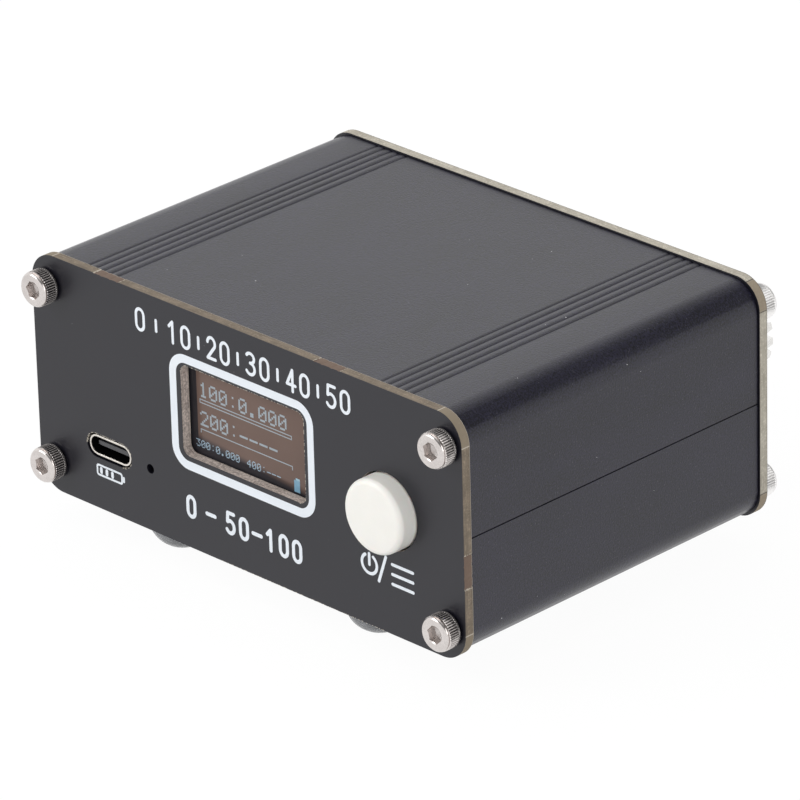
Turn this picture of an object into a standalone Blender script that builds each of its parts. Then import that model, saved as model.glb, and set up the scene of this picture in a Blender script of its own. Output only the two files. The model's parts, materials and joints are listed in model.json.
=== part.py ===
"""A bench-top power and SWR meter for short-wave radio.

A split extruded case is closed by a circuit-board panel at each end. The front panel has a display
window, a charging port, a pinhole light and a round push button. Two coaxial sockets stand out of
the rear panel. All lengths are in metres. X runs along the front panel to the right, Y runs from
front to rear and Z runs up. The origin is under the middle of the whole depth, level with the feet.
"""

import math

import bmesh
import bpy
from mathutils import Euler, Matrix, Vector

# Fits and cuts
FIT = 0.0003  # gap between pieces that touch
OVERRUN = 0.001  # how far a cutter runs past what it cuts
SEAM_MERGE = 0.000001  # how near a turned shape's first and last points are joined

# Split case, made of one extrusion used twice
SHELL_WIDTH = 0.0874
SHELL_HEIGHT = 0.0376
SHELL_LENGTH = 0.0590
SHELL_CORNER_RADIUS = 0.0047
TOP_WALL = 0.0015
SIDE_WALL = 0.0018
LIP_THICKNESS = 0.00075
TONGUE_DEPTH = 0.0016
GROOVE_COUNT = 5
GROOVE_PITCH = 0.00153
GROOVE_WIDTH = 0.0008
GROOVE_DEPTH = 0.0004
GROOVE_BAND_INSET = 0.0137  # from the case's side to the middle of a band of grooves
GROOVE_BAND_SHIFT = 0.00055  # how far the die's two bands are off centre
RAIL_DEPTH = 0.0012
RAIL_THICKNESS = 0.0012
CHANNEL_WALL = 0.0009  # least wall beside a screw channel
CHANNEL_MOUTH = 0.0014  # width of the channel's open side

# Front and rear panels
PANEL_PROUD = 0.0003  # how far a panel stands out round the shell
PANEL_THICKNESS = 0.0016
PANEL_CORNER_RADIUS = 0.0046

# Panel screws, M3 cap screws that cut their thread in the channels
SCREW_INSET_X = 0.00326  # from the panel's edge
SCREW_INSET_Z = 0.0049
SCREW_SHANK_RADIUS = 0.00125
SCREW_LENGTH = 0.0100
SCREW_HOLE_RADIUS = 0.0016
SCREW_HEAD_RADIUS = 0.00275
SCREW_HEAD_HEIGHT = 0.0027
SCREW_HEAD_CHAMFER = 0.0003
SCREW_KEY_WIDTH = 0.0025  # across the flats of the hexagon socket
SCREW_KEY_DEPTH = 0.0015

# Rubber feet
FOOT_RADIUS = 0.0051
FOOT_HEIGHT = 0.00467  # from the bench to the case's underside
FOOT_FLAT_RADIUS = 0.0016
FOOT_INSET_X = 0.02355  # from the panels' side edges
FOOT_INSET_Y = 0.0064  # from the panels' outer faces

# Display module behind the window
WINDOW_X = -0.00017  # window centre, from the middle of the panel
WINDOW_Z = 0.00287
WINDOW_WIDTH = 0.02533
WINDOW_HEIGHT = 0.0144
WINDOW_CORNER_RADIUS = 0.0013
GLASS_X = -0.00065
GLASS_Z = 0.0041
GLASS_WIDTH = 0.0267
GLASS_HEIGHT = 0.01926
GLASS_THICKNESS = 0.0014
DISPLAY_BOARD_WIDTH = 0.0273
DISPLAY_BOARD_THICKNESS = 0.0012
DISPLAY_BOARD_HEADROOM = 0.0004  # below the top wall
DISPLAY_PIN_COUNT = 4
DISPLAY_PIN_INSET = 0.0015  # from the board's lower edge to the row of pins

# Charging port, sunk into a notch in the main board
USB_INSET_X = 0.01515  # from the panel's left edge
USB_INSET_Z = 0.0102  # from the panel's lower edge
USB_WIDTH = 0.00894
USB_HEIGHT = 0.00326
USB_LENGTH = 0.00735
USB_METAL = 0.0003
USB_SINK = 0.0008  # how far the shell reaches below the board's top
USB_RECESS = 0.0002  # from the panel's face back to the shell's mouth
USB_TONGUE_WIDTH = 0.00669
USB_TONGUE_THICKNESS = 0.0007
USB_TONGUE_SETBACK = 0.0008
USB_BASE_LENGTH = 0.0022

# Charge light behind its pinhole
LIGHT_SPACING = 0.00878  # from the port
LIGHT_HOLE_RADIUS = 0.00075
LIGHT_WIDTH = 0.0030
LIGHT_HEIGHT = 0.0008
LIGHT_DEPTH = 0.0014

# Push button and its switch
BUTTON_INSET_X = 0.01513  # from the panel's right edge
BUTTON_Z = 0.0001
BUTTON_RADIUS = 0.00574
BUTTON_PROUD = 0.00308
BUTTON_EDGE_RADIUS = 0.0009
BUTTON_WALL = 0.0012
BUTTON_TRAVEL = 0.00035
BUTTON_BACK_CLEARANCE = 0.0007  # from the cap's rear edge to the switch, at rest
BUTTON_BOSS_RADIUS = 0.0036
SWITCH_WIDTH = 0.0120
SWITCH_HEIGHT = 0.0035
SWITCH_CHAMFER = 0.0008
SWITCH_WELL_RADIUS = 0.0035
SWITCH_WELL_DEPTH = 0.0017
SWITCH_LEG_WIDTH = 0.0010
SWITCH_LEG_THICKNESS = 0.0003
SWITCH_LEG_SPACING_X = 0.0125
SWITCH_LEG_SPACING_Z = 0.0050
PLUNGER_DISC_THICKNESS = 0.0009
PLUNGER_STEM_WIDTH = 0.0038
PLUNGER_STEM_LENGTH = 0.0046

# Boards inside the case
BOARD_THICKNESS = 0.0016
MAIN_BOARD_SETBACK = 0.0063  # from the rear panel to the board's rear edge
CONTROL_BOARD_MARGIN = 0.0022  # past the display board on the left
CONTROL_BOARD_CLEARANCE = 0.0008  # from the screw channel on the right
COUPLER_BOARD_MARGIN = 0.0079  # past each socket's axis
COUPLER_BOARD_SETBACK = 0.0101  # from the rear panel to the coupler board
UPRIGHT_BOARD_HEADROOM = 0.0009  # below the top wall
PIN_PITCH = 0.00254
PIN_WIDTH = 0.00064
PIN_STRIP_WIDTH = 0.0025
PIN_TAIL = 0.0012  # how far a pin reaches past a board
ANGLE_PIN_COUNT = 5

# Chips on the main board
CHIP_LEAD_THICKNESS = 0.0002
CHIP_LEAD_LENGTH = 0.0010
MICRO_WIDTH = 0.0065
MICRO_DEPTH = 0.0044
MICRO_HEIGHT = 0.0011
MICRO_PITCH = 0.00065
MICRO_LEADS = 10
MICRO_INSET = 0.0120  # from the main board's right edge
MICRO_DEPTH_SHARE = 0.50  # place along the main board, from its front
CHARGER_WIDTH = 0.0049
CHARGER_DEPTH = 0.0039
CHARGER_HEIGHT = 0.0015
CHARGER_PITCH = 0.00127
CHARGER_LEADS = 4
CHARGER_DEPTH_SHARE = 0.30
REGULATOR_WIDTH = 0.0065
REGULATOR_DEPTH = 0.0035
REGULATOR_HEIGHT = 0.0016
REGULATOR_PITCH = 0.0023
REGULATOR_LEADS = 3
REGULATOR_DEPTH_SHARE = 0.49
POWER_SHARE = 0.70  # of the board's half width, out to the charger, the regulator and the plug

# Rechargeable cell and its leads
CELL_WIDTH_SHARE = 0.36  # of the main board's width
CELL_HEIGHT = 0.0050
CELL_EDGE_RADIUS = 0.0012
CELL_X = 0.0020
CELL_GAP = 0.0010  # from the control header in front and the winding behind
PLUG_WIDTH = 0.0080
PLUG_DEPTH = 0.0060
PLUG_HEIGHT = 0.0045
PLUG_DEPTH_SHARE = 0.68
LEAD_RADIUS = 0.0006
LEAD_SPACING = 0.0022

# Coaxial sockets in the rear panel
SOCKET_INSET = 0.0219  # from the panel's side edge to a socket's axis
SOCKET_REACH = 0.0170  # from the rear panel's face to the rim
SOCKET_THREAD_RADIUS = 0.00794
SOCKET_BORE_RADIUS = 0.0062
SOCKET_BORE_DEPTH = 0.0123
SOCKET_RIM_CHAMFER = 0.0003
SOCKET_TEETH = 20
SOCKET_TOOTH_DEPTH = 0.0015
SOCKET_FLANGE_RADIUS = 0.0102
SOCKET_FLANGE_THICKNESS = 0.0026
SOCKET_NECK_RADIUS = 0.0055
SOCKET_NECK_LENGTH = 0.0020
SOCKET_STEP_RADIUS = 0.0042
INSULATOR_HEAD_LENGTH = 0.0020
CONTACT_RADIUS = 0.0026
CONTACT_BORE_RADIUS = 0.0020
CONTACT_BORE_DEPTH = 0.0100
CONTACT_SETBACK = 0.0015  # from the rim to the contact's mouth
CONTACT_SLOT_WIDTH = 0.0005
CONTACT_SLOT_DEPTH = 0.0045
CONTACT_TAIL_RADIUS = 0.0012
CONTACT_TAIL_PAST_BOARD = 0.0005
NUT_WIDTH = 0.0190  # across the flats
NUT_THICKNESS = 0.0030
WASHER_RADIUS = 0.0095
WASHER_THICKNESS = 0.0008
WASHER_TEETH = 12
WASHER_TOOTH_DEPTH = 0.0006

# Line between the sockets, its current transformer and the detector
CORE_OUTER_RADIUS = 0.00475
CORE_INNER_RADIUS = 0.0026
CORE_LENGTH = 0.0033
CORE_CHAMFER = 0.0003
WIRE_RADIUS = 0.0003
WINDING_TURNS = 9
WINDING_SPREAD = math.radians(300)
WINDING_LEAD = 0.0012
WINDING_NEIGHBOURS = 5
THROUGH_LINE_RADIUS = 0.00125
LINE_BEND_RADIUS = 0.0030
DIODE_RADIUS = 0.0009
DIODE_LENGTH = 0.0038
DIODE_LEAD_RADIUS = 0.00025
DIODE_LEAD_LENGTH = 0.0020
DIODE_SPREAD_SHARE = 0.45  # of the way from the middle to a socket
DIODE_Z = 0.0090
TRIMMER_RADIUS = 0.0030
TRIMMER_HEIGHT = 0.0035
TRIMMER_STEP_RADIUS = 0.0020
TRIMMER_STEP_HEIGHT = 0.0006
TRIMMER_SLOT_WIDTH = 0.0006
TRIMMER_SLOT_DEPTH = 0.0005

# Facets of round shapes
LARGE_ROUND = 36
ROUND = 20
SMALL_ROUND = 8
CORNER_STEPS = 6
EDGE_STEPS = 4
LEAD_STEPS = 10
SMOOTH_ANGLE = math.radians(35)
FLAT_ANGLE = math.radians(0.05)

# Sizes that follow from the ones above. Sections are measured from the middle of the case.
HALF_WIDTH = SHELL_WIDTH / 2
HALF_HEIGHT = SHELL_HEIGHT / 2
PANEL_WIDTH = SHELL_WIDTH + 2 * PANEL_PROUD
PANEL_HEIGHT = SHELL_HEIGHT + 2 * PANEL_PROUD
CASE_DEPTH = SHELL_LENGTH + 2 * (FIT + PANEL_THICKNESS)
CASE_Z = FOOT_HEIGHT + HALF_HEIGHT
TOTAL_DEPTH = BUTTON_PROUD + CASE_DEPTH + SOCKET_REACH
FRONT_FACE_Y = BUTTON_PROUD - TOTAL_DEPTH / 2
REAR_FACE_Y = FRONT_FACE_Y + CASE_DEPTH
CASE_Y = (FRONT_FACE_Y + REAR_FACE_Y) / 2
INSIDE_FRONT_Y = FRONT_FACE_Y + PANEL_THICKNESS
INSIDE_REAR_Y = REAR_FACE_Y - PANEL_THICKNESS
INSIDE_TOP = HALF_HEIGHT - TOP_WALL
GROOVE_BAND_X = HALF_WIDTH - GROOVE_BAND_INSET
FOOT_X = PANEL_WIDTH / 2 - FOOT_INSET_X
FOOT_Y = CASE_DEPTH / 2 - FOOT_INSET_Y
SOCKET_X = PANEL_WIDTH / 2 - SOCKET_INSET
BUTTON_X = PANEL_WIDTH / 2 - BUTTON_INSET_X
USB_X = USB_INSET_X - PANEL_WIDTH / 2
USB_Z = USB_INSET_Z - PANEL_HEIGHT / 2
LIGHT_X = USB_X + LIGHT_SPACING
SCREW_X = PANEL_WIDTH / 2 - SCREW_INSET_X
SCREW_Z = PANEL_HEIGHT / 2 - SCREW_INSET_Z
CHANNEL_RADIUS = SCREW_SHANK_RADIUS + FIT
CHANNEL_SIDE = SCREW_X - CHANNEL_RADIUS - CHANNEL_WALL

BOARD_TOP = USB_Z - USB_HEIGHT / 2 + USB_SINK
BOARD_BOTTOM = BOARD_TOP - BOARD_THICKNESS
MAIN_BOARD_WIDTH = SHELL_WIDTH - 2 * (SIDE_WALL + FIT)
MAIN_BOARD_FRONT = INSIDE_FRONT_Y + FIT
MAIN_BOARD_LENGTH = INSIDE_REAR_Y - MAIN_BOARD_SETBACK - MAIN_BOARD_FRONT
POWER_X = -POWER_SHARE * MAIN_BOARD_WIDTH / 2
CELL_WIDTH = CELL_WIDTH_SHARE * MAIN_BOARD_WIDTH
MICRO_X = MAIN_BOARD_WIDTH / 2 - MICRO_INSET
USB_MOUTH_Y = FRONT_FACE_Y + USB_RECESS
GLASS_FRONT = INSIDE_FRONT_Y + FIT
DISPLAY_BOARD_FRONT = GLASS_FRONT + GLASS_THICKNESS + FIT
DISPLAY_BOARD_REAR = DISPLAY_BOARD_FRONT + DISPLAY_BOARD_THICKNESS
CONTROL_BOARD_FRONT = DISPLAY_BOARD_REAR + PIN_STRIP_WIDTH + 2 * FIT
CONTROL_BOARD_REAR = CONTROL_BOARD_FRONT + BOARD_THICKNESS
COUPLER_BOARD_REAR = INSIDE_REAR_Y - COUPLER_BOARD_SETBACK
COUPLER_BOARD_FRONT = COUPLER_BOARD_REAR - BOARD_THICKNESS
UPRIGHT_BOARD_BOTTOM = BOARD_TOP + FIT
UPRIGHT_BOARD_TOP = INSIDE_TOP - UPRIGHT_BOARD_HEADROOM
DISPLAY_BOARD_BOTTOM = BOARD_TOP + 2 * FIT
DISPLAY_BOARD_TOP = INSIDE_TOP - DISPLAY_BOARD_HEADROOM
DISPLAY_PIN_Z = DISPLAY_BOARD_BOTTOM + DISPLAY_PIN_INSET
CONTROL_BOARD_LEFT = GLASS_X - DISPLAY_BOARD_WIDTH / 2 - CONTROL_BOARD_MARGIN
CONTROL_BOARD_RIGHT = CHANNEL_SIDE - CONTROL_BOARD_CLEARANCE
CONTROL_HEADER_X = (GLASS_X + BUTTON_X) / 2
COUPLER_HEADER_X = 0.0
COUPLER_BOARD_HALF = SOCKET_X + COUPLER_BOARD_MARGIN
ANGLE_PIN_Z = BOARD_TOP + FIT + PIN_STRIP_WIDTH / 2
PIN_HOLE_RADIUS = PIN_WIDTH * math.sqrt(0.5) + FIT

SWITCH_REAR = CONTROL_BOARD_FRONT - FIT
SWITCH_FRONT = SWITCH_REAR - SWITCH_HEIGHT
BUTTON_LENGTH = SWITCH_FRONT - BUTTON_BACK_CLEARANCE - FRONT_FACE_Y + BUTTON_PROUD
PLUNGER_REAR = SWITCH_FRONT + SWITCH_WELL_DEPTH - FIT - 2 * BUTTON_TRAVEL
PLUNGER_STEM_FRONT = PLUNGER_REAR - PLUNGER_DISC_THICKNESS - PLUNGER_STEM_LENGTH

CONTACT_TAIL_FRONT = COUPLER_BOARD_FRONT - CONTACT_TAIL_PAST_BOARD
WINDING_DEPTH = FIT + 2 * WIRE_RADIUS
LINE_Y = COUPLER_BOARD_FRONT - CORE_OUTER_RADIUS - WINDING_DEPTH - WINDING_LEAD
CELL_FRONT = CONTROL_BOARD_REAR + FIT + PIN_STRIP_WIDTH + 1.5 * PIN_WIDTH + CELL_GAP
CELL_REAR = LINE_Y - CORE_OUTER_RADIUS - WINDING_DEPTH - CELL_GAP


def new_collection(name, hidden=False):
    """A collection of the scene, left out of renders where hidden is set."""
    collection = bpy.data.collections.new(name)
    collection.hide_render = hidden
    bpy.context.scene.collection.children.link(collection)
    return collection


def new_material(name, colour, roughness, metallic=0.0):
    """A plain material of this colour."""
    material = bpy.data.materials.new(name)
    material.use_nodes = True
    shader = material.node_tree.nodes["Principled BSDF"]
    shader.inputs["Base Color"].default_value = (*colour, 1.0)
    shader.inputs["Roughness"].default_value = roughness
    shader.inputs["Metallic"].default_value = metallic
    return material


def make_materials():
    """Every finish of the meter, by name."""
    return {
        "anodised": new_material("black_anodised_aluminium", (0.022, 0.022, 0.024), 0.45, 0.3),
        "panel": new_material("black_panel", (0.05, 0.05, 0.055), 0.55),
        "board": new_material("green_board", (0.02, 0.16, 0.06), 0.5),
        "steel": new_material("plated_steel", (0.62, 0.61, 0.60), 0.28, 1.0),
        "brass": new_material("gold_plated_brass", (0.78, 0.58, 0.25), 0.3, 1.0),
        "rubber": new_material("grey_rubber", (0.3, 0.3, 0.29), 0.6),
        "white": new_material("white_plastic", (0.87, 0.86, 0.82), 0.35),
        "black": new_material("black_plastic", (0.02, 0.02, 0.02), 0.5),
        "glass": new_material("display_glass", (0.05, 0.035, 0.03), 0.08),
        "insulator": new_material("white_insulator", (0.8, 0.8, 0.78), 0.4),
        "ferrite": new_material("grey_ferrite", (0.08, 0.08, 0.085), 0.7),
        "copper": new_material("enamelled_copper", (0.6, 0.2, 0.08), 0.3, 1.0),
        "cell": new_material("silver_pouch", (0.6, 0.6, 0.62), 0.35, 0.6),
        "red": new_material("red_lead", (0.6, 0.02, 0.02), 0.45),
    }


def place(obj, material, location, rotation, collection):
    """Puts a new object in the part, with its finish and its place."""
    obj.data.materials.append(material)
    obj.location = location
    obj.rotation_euler = rotation
    collection.objects.link(obj)
    return obj


def box(name, size, centre, material, collection):
    """A box of this size."""
    form = bmesh.new()
    bmesh.ops.create_cube(form, size=1.0, matrix=Matrix.Diagonal((*size, 1.0)))
    mesh = bpy.data.meshes.new(name)
    form.to_mesh(mesh)
    form.free()
    return place(bpy.data.objects.new(name, mesh), material, centre, Euler(), collection)


def boxes(name, places, centre, material, collection):
    """Several boxes that stay clear of each other, as (size, place) round a centre."""
    form = bmesh.new()
    for size, place_of in places:
        matrix = Matrix.Translation(place_of) @ Matrix.Diagonal((*size, 1.0))
        bmesh.ops.create_cube(form, size=1.0, matrix=matrix)
    mesh = bpy.data.meshes.new(name)
    form.to_mesh(mesh)
    form.free()
    return place(bpy.data.objects.new(name, mesh), material, centre, Euler(), collection)


AXIS_TURN = {
    "X": Euler((math.pi / 2, 0, math.pi / 2)),
    "Y": Euler((math.pi / 2, 0, 0)),
    "Z": Euler((0, 0, 0)),
}


def prism(name, outlines, thickness, centre, axis, material, collection):
    """A flat outline, with holes inside it, given a thickness along an axis.

    Outline points are (x, z) for a Y prism, (y, z) for an X prism and (x, y) for a Z prism. The
    outer outline comes first. All run anticlockwise, and the holes are turned round here, so that
    their walls face into the holes.
    """
    curve = bpy.data.curves.new(name, "CURVE")
    curve.dimensions = "2D"
    curve.fill_mode = "BOTH"
    curve.extrude = thickness / 2
    for outline in [outlines[0], *(hole[::-1] for hole in outlines[1:])]:
        spline = curve.splines.new("POLY")
        spline.points.add(len(outline) - 1)
        for point, (across, up) in zip(spline.points, outline):
            point.co = (across, up, 0.0, 1.0)
        spline.use_cyclic_u = True
    obj = bpy.data.objects.new(name, curve)
    return place(obj, material, centre, AXIS_TURN[axis], collection)


TURN_AXIS = {
    "+Z": Euler((0, 0, 0)),
    "-Z": Euler((math.pi, 0, 0)),
    "+Y": Euler((-math.pi / 2, 0, 0)),
    "-Y": Euler((math.pi / 2, 0, 0)),
    "+X": Euler((0, math.pi / 2, 0)),
}


def turned(name, profile, ring, sides, centre, axis, material, collection):
    """A profile of (radius, height) points, running down its outer side, turned about its axis.

    A ring's profile closes on itself. Any other starts and ends on the axis.
    """
    mesh = bpy.data.meshes.new(name)
    edges = [(i, i + 1) for i in range(len(profile) - 1)]
    if ring:
        edges.append((len(profile) - 1, 0))
    mesh.from_pydata([(radius, 0.0, height) for radius, height in profile], edges, [])
    obj = bpy.data.objects.new(name, mesh)
    place(obj, material, centre, TURN_AXIS[axis], collection)
    screw = obj.modifiers.new("turn", "SCREW")
    screw.axis = "Z"
    screw.steps = sides
    screw.render_steps = sides
    screw.use_merge_vertices = True
    screw.merge_threshold = SEAM_MERGE
    return obj


def tube(name, points, radius, material, collection):
    """A wire of this radius along the points."""
    curve = bpy.data.curves.new(name, "CURVE")
    curve.dimensions = "3D"
    curve.bevel_depth = radius
    curve.bevel_resolution = 1
    curve.use_fill_caps = True
    spline = curve.splines.new("POLY")
    spline.points.add(len(points) - 1)
    for point, place_of in zip(spline.points, points):
        point.co = (*place_of, 1.0)
    spline.use_smooth = True
    obj = bpy.data.objects.new(name, curve)
    return place(obj, material, Vector(), Euler(), collection)


def as_mesh(obj):
    """The object with its modifiers applied and its caps welded, as a mesh that can be cut."""
    bpy.context.view_layer.update()
    graph = bpy.context.evaluated_depsgraph_get()
    mesh = bpy.data.meshes.new_from_object(obj.evaluated_get(graph))
    form = bmesh.new()
    form.from_mesh(mesh)
    bmesh.ops.remove_doubles(form, verts=form.verts, dist=SEAM_MERGE)
    bmesh.ops.dissolve_limit(form, angle_limit=FLAT_ANGLE, verts=form.verts, edges=form.edges)
    bmesh.ops.recalc_face_normals(form, faces=form.faces)
    form.to_mesh(mesh)
    form.free()
    name = obj.name
    fresh = bpy.data.objects.new(name, mesh)
    fresh.matrix_world = obj.matrix_world.copy()
    for collection in obj.users_collection:
        collection.objects.link(fresh)
    bpy.data.objects.remove(obj)
    fresh.name = name
    return fresh


def combine(target, other, operation):
    """A Boolean of this kind between the target and a helper that isn't drawn."""
    other.hide_render = True
    other.display_type = "WIRE"
    modifier = target.modifiers.new(other.name, "BOOLEAN")
    modifier.operation = operation
    modifier.object = other
    return target


def cut(target, other):
    """The target with the other shape taken away."""
    return combine(target, other, "DIFFERENCE")


def join(target, other):
    """The target with the other shape added."""
    return combine(target, other, "UNION")


def smooth(obj):
    """Smooth shading over rounds, sharp over edges."""
    obj.data.shade_smooth()
    obj.data.set_sharp_from_angle(angle=SMOOTH_ANGLE)
    return obj


def arc(centre, radius, start, end, steps):
    """Points along an arc, both ends included, with angles in radians."""
    points = []
    for step in range(steps + 1):
        angle = start + (end - start) * step / steps
        points.append((centre[0] + radius * math.cos(angle), centre[1] + radius * math.sin(angle)))
    return points


def circle(centre, radius, sides):
    """A closed circle of points."""
    return arc(centre, radius, 0.0, 2 * math.pi, sides)[:-1]


def rectangle(centre, width, height):
    """The four corners of a rectangle."""
    left, right = centre[0] - width / 2, centre[0] + width / 2
    low, high = centre[1] - height / 2, centre[1] + height / 2
    return [(right, low), (right, high), (left, high), (left, low)]


def rounded_rectangle(centre, width, height, radius, steps):
    """A rectangle with round corners."""
    points = []
    for corner, (side_x, side_z) in enumerate(((1, -1), (1, 1), (-1, 1), (-1, -1))):
        middle = (
            centre[0] + side_x * (width / 2 - radius),
            centre[1] + side_z * (height / 2 - radius),
        )
        start = (corner - 1) * math.pi / 2
        points += arc(middle, radius, start, start + math.pi / 2, steps)
    return points


def slot(centre, width, height):
    """An outline with straight sides and half-round ends."""
    radius = height / 2
    reach = width / 2 - radius
    right = arc((centre[0] + reach, centre[1]), radius, -math.pi / 2, math.pi / 2, 2 * EDGE_STEPS)
    left = arc((centre[0] - reach, centre[1]), radius, math.pi / 2, 1.5 * math.pi, 2 * EDGE_STEPS)
    return right + left


def hexagon(centre, flats):
    """A hexagon with this width across its flats."""
    return circle(centre, flats / math.sqrt(3), 6)


def toothed_ring(centre, outer, inner, teeth):
    """A circle with square teeth between two radii."""
    points = []
    for tooth in range(teeth):
        start = 2 * math.pi * tooth / teeth
        half = math.pi / teeth
        points += arc(centre, outer, start, start + half, 1)
        points += arc(centre, inner, start + half, start + 2 * half, 1)
    return points


def pin_places(count, middle):
    """Places of a row of header pins round its middle."""
    return [middle + (index - (count - 1) / 2) * PIN_PITCH for index in range(count)]


def groove_points(middle):
    """One V groove in the top of the case, from right to left."""
    return [
        (middle + GROOVE_WIDTH / 2, HALF_HEIGHT),
        (middle, HALF_HEIGHT - GROOVE_DEPTH),
        (middle - GROOVE_WIDTH / 2, HALF_HEIGHT),
    ]


def outer_section():
    """The outside of a half case, from the right seam over the top to the left seam."""
    points = [(HALF_WIDTH, FIT / 2)]
    corner_z = HALF_HEIGHT - SHELL_CORNER_RADIUS
    corner_x = HALF_WIDTH - SHELL_CORNER_RADIUS
    points += arc((corner_x, corner_z), SHELL_CORNER_RADIUS, 0.0, math.pi / 2, CORNER_STEPS)
    for band in (GROOVE_BAND_X, -GROOVE_BAND_X):
        for index in range(GROOVE_COUNT):
            step = (GROOVE_COUNT - 1) / 2 - index
            points += groove_points(band - GROOVE_BAND_SHIFT + step * GROOVE_PITCH)
    left = arc((-corner_x, corner_z), SHELL_CORNER_RADIUS, math.pi / 2, math.pi, CORNER_STEPS)
    return points + left + [(-HALF_WIDTH, FIT / 2)]


def channel_section(side):
    """The screw channel's block and the board rails on one side, from the top wall down.

    The block is open towards the inside, so that the screw channel is a C.
    """
    wall = HALF_WIDTH - SIDE_WALL
    mouth = math.asin(CHANNEL_MOUTH / 2 / CHANNEL_RADIUS)
    slot_high = -BOARD_BOTTOM + FIT
    slot_low = -BOARD_TOP - FIT
    points = [(CHANNEL_SIDE, INSIDE_TOP), (CHANNEL_SIDE, SCREW_Z + CHANNEL_MOUTH / 2)]
    points += arc((SCREW_X, SCREW_Z), CHANNEL_RADIUS, math.pi - mouth, mouth - math.pi, ROUND)
    points += [
        (CHANNEL_SIDE, SCREW_Z - CHANNEL_MOUTH / 2),
        (CHANNEL_SIDE, slot_high),
        (wall, slot_high),
        (wall, slot_low),
        (wall - RAIL_DEPTH, slot_low),
        (wall - RAIL_DEPTH, slot_low - RAIL_THICKNESS),
        (wall, slot_low - RAIL_THICKNESS),
    ]
    return [(side * x, z) for x, z in points]


def half_case_section():
    """The whole section of one half case, with a lip on its right and a tongue on its left."""
    wall = HALF_WIDTH - SIDE_WALL
    lip = HALF_WIDTH - LIP_THICKNESS
    lip_edge = [
        (wall, TONGUE_DEPTH + FIT),
        (lip, TONGUE_DEPTH + FIT),
        (lip, FIT / 2),
    ]
    tongue = [
        (-lip + FIT, FIT / 2),
        (-lip + FIT, -TONGUE_DEPTH),
        (-wall, -TONGUE_DEPTH),
    ]
    left = channel_section(-1)[::-1]
    return outer_section() + tongue + left + channel_section(1) + lip_edge


def make_shells(kit, part):
    """The top half, and the bottom half, which is the same extrusion turned over."""
    section = half_case_section()
    centre = (0.0, CASE_Y, CASE_Z)
    prism("top_shell", [section], SHELL_LENGTH, centre, "Y", kit["anodised"], part)
    lower = prism("bottom_shell", [section], SHELL_LENGTH, centre, "Y", kit["anodised"], part)
    lower.rotation_euler = Euler((math.pi / 2, math.pi, 0))


def panel_outline():
    """The edge of a panel, and the four screw holes."""
    edge = rounded_rectangle((0.0, 0.0), PANEL_WIDTH, PANEL_HEIGHT, PANEL_CORNER_RADIUS, CORNER_STEPS)
    holes = [
        circle((x, z), SCREW_HOLE_RADIUS, ROUND)
        for x in (SCREW_X, -SCREW_X)
        for z in (SCREW_Z, -SCREW_Z)
    ]
    return [edge, *holes]


def make_panels(kit, part):
    """The front panel with its openings, and the rear panel with its two socket holes."""
    port_width, port_height = USB_WIDTH + 2 * FIT, USB_HEIGHT + 2 * FIT
    window = rounded_rectangle(
        (WINDOW_X, WINDOW_Z), WINDOW_WIDTH, WINDOW_HEIGHT, WINDOW_CORNER_RADIUS, EDGE_STEPS
    )
    port = slot((USB_X, USB_Z), port_width, port_height)
    light_z = BOARD_TOP + FIT + LIGHT_HEIGHT / 2
    front = [
        window,
        port,
        circle((LIGHT_X, light_z), LIGHT_HOLE_RADIUS, SMALL_ROUND),
        circle((BUTTON_X, BUTTON_Z), BUTTON_RADIUS + FIT, LARGE_ROUND),
    ]
    rear = [circle((x, 0.0), SOCKET_THREAD_RADIUS + FIT, LARGE_ROUND) for x in (SOCKET_X, -SOCKET_X)]
    panels = (("front_panel", front, FRONT_FACE_Y), ("rear_panel", rear, INSIDE_REAR_Y))
    for name, openings, face in panels:
        centre = (0.0, face + PANEL_THICKNESS / 2, CASE_Z)
        outlines = panel_outline() + openings
        prism(name, outlines, PANEL_THICKNESS, centre, "Y", kit["panel"], part)


def make_screw_mesh(kit, helpers):
    """One cap screw with its hexagon socket, its head's underside at the origin."""
    profile = [
        (0.0, SCREW_HEAD_HEIGHT),
        (SCREW_HEAD_RADIUS - SCREW_HEAD_CHAMFER, SCREW_HEAD_HEIGHT),
        (SCREW_HEAD_RADIUS, SCREW_HEAD_HEIGHT - SCREW_HEAD_CHAMFER),
        (SCREW_HEAD_RADIUS, 0.0),
        (SCREW_SHANK_RADIUS, 0.0),
        (SCREW_SHANK_RADIUS, -SCREW_LENGTH),
        (0.0, -SCREW_LENGTH),
    ]
    screw = turned("screw_form", profile, False, ROUND, Vector(), "+Z", kit["steel"], helpers)
    key_depth = SCREW_KEY_DEPTH + OVERRUN
    key_centre = (0.0, 0.0, SCREW_HEAD_HEIGHT + OVERRUN - key_depth / 2)
    outline = [hexagon((0.0, 0.0), SCREW_KEY_WIDTH)]
    key = as_mesh(prism("key_cut", outline, key_depth, key_centre, "Z", kit["steel"], helpers))
    cut(screw, key)
    return smooth(as_mesh(screw))


def make_panel_screws(kit, part, helpers):
    """Four screws at the front and four at the rear."""
    form = make_screw_mesh(kit, helpers)
    form.hide_render = True
    ends = (("front", FRONT_FACE_Y - FIT, "-Y"), ("rear", REAR_FACE_Y + FIT, "+Y"))
    for end, seat, axis in ends:
        for row, up in (("top", 1), ("bottom", -1)):
            for hand, across in (("left", -1), ("right", 1)):
                screw = bpy.data.objects.new(f"{end}_screw_{row}_{hand}", form.data)
                screw.location = (across * SCREW_X, seat, CASE_Z + up * SCREW_Z)
                screw.rotation_euler = TURN_AXIS[axis]
                part.objects.link(screw)


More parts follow.
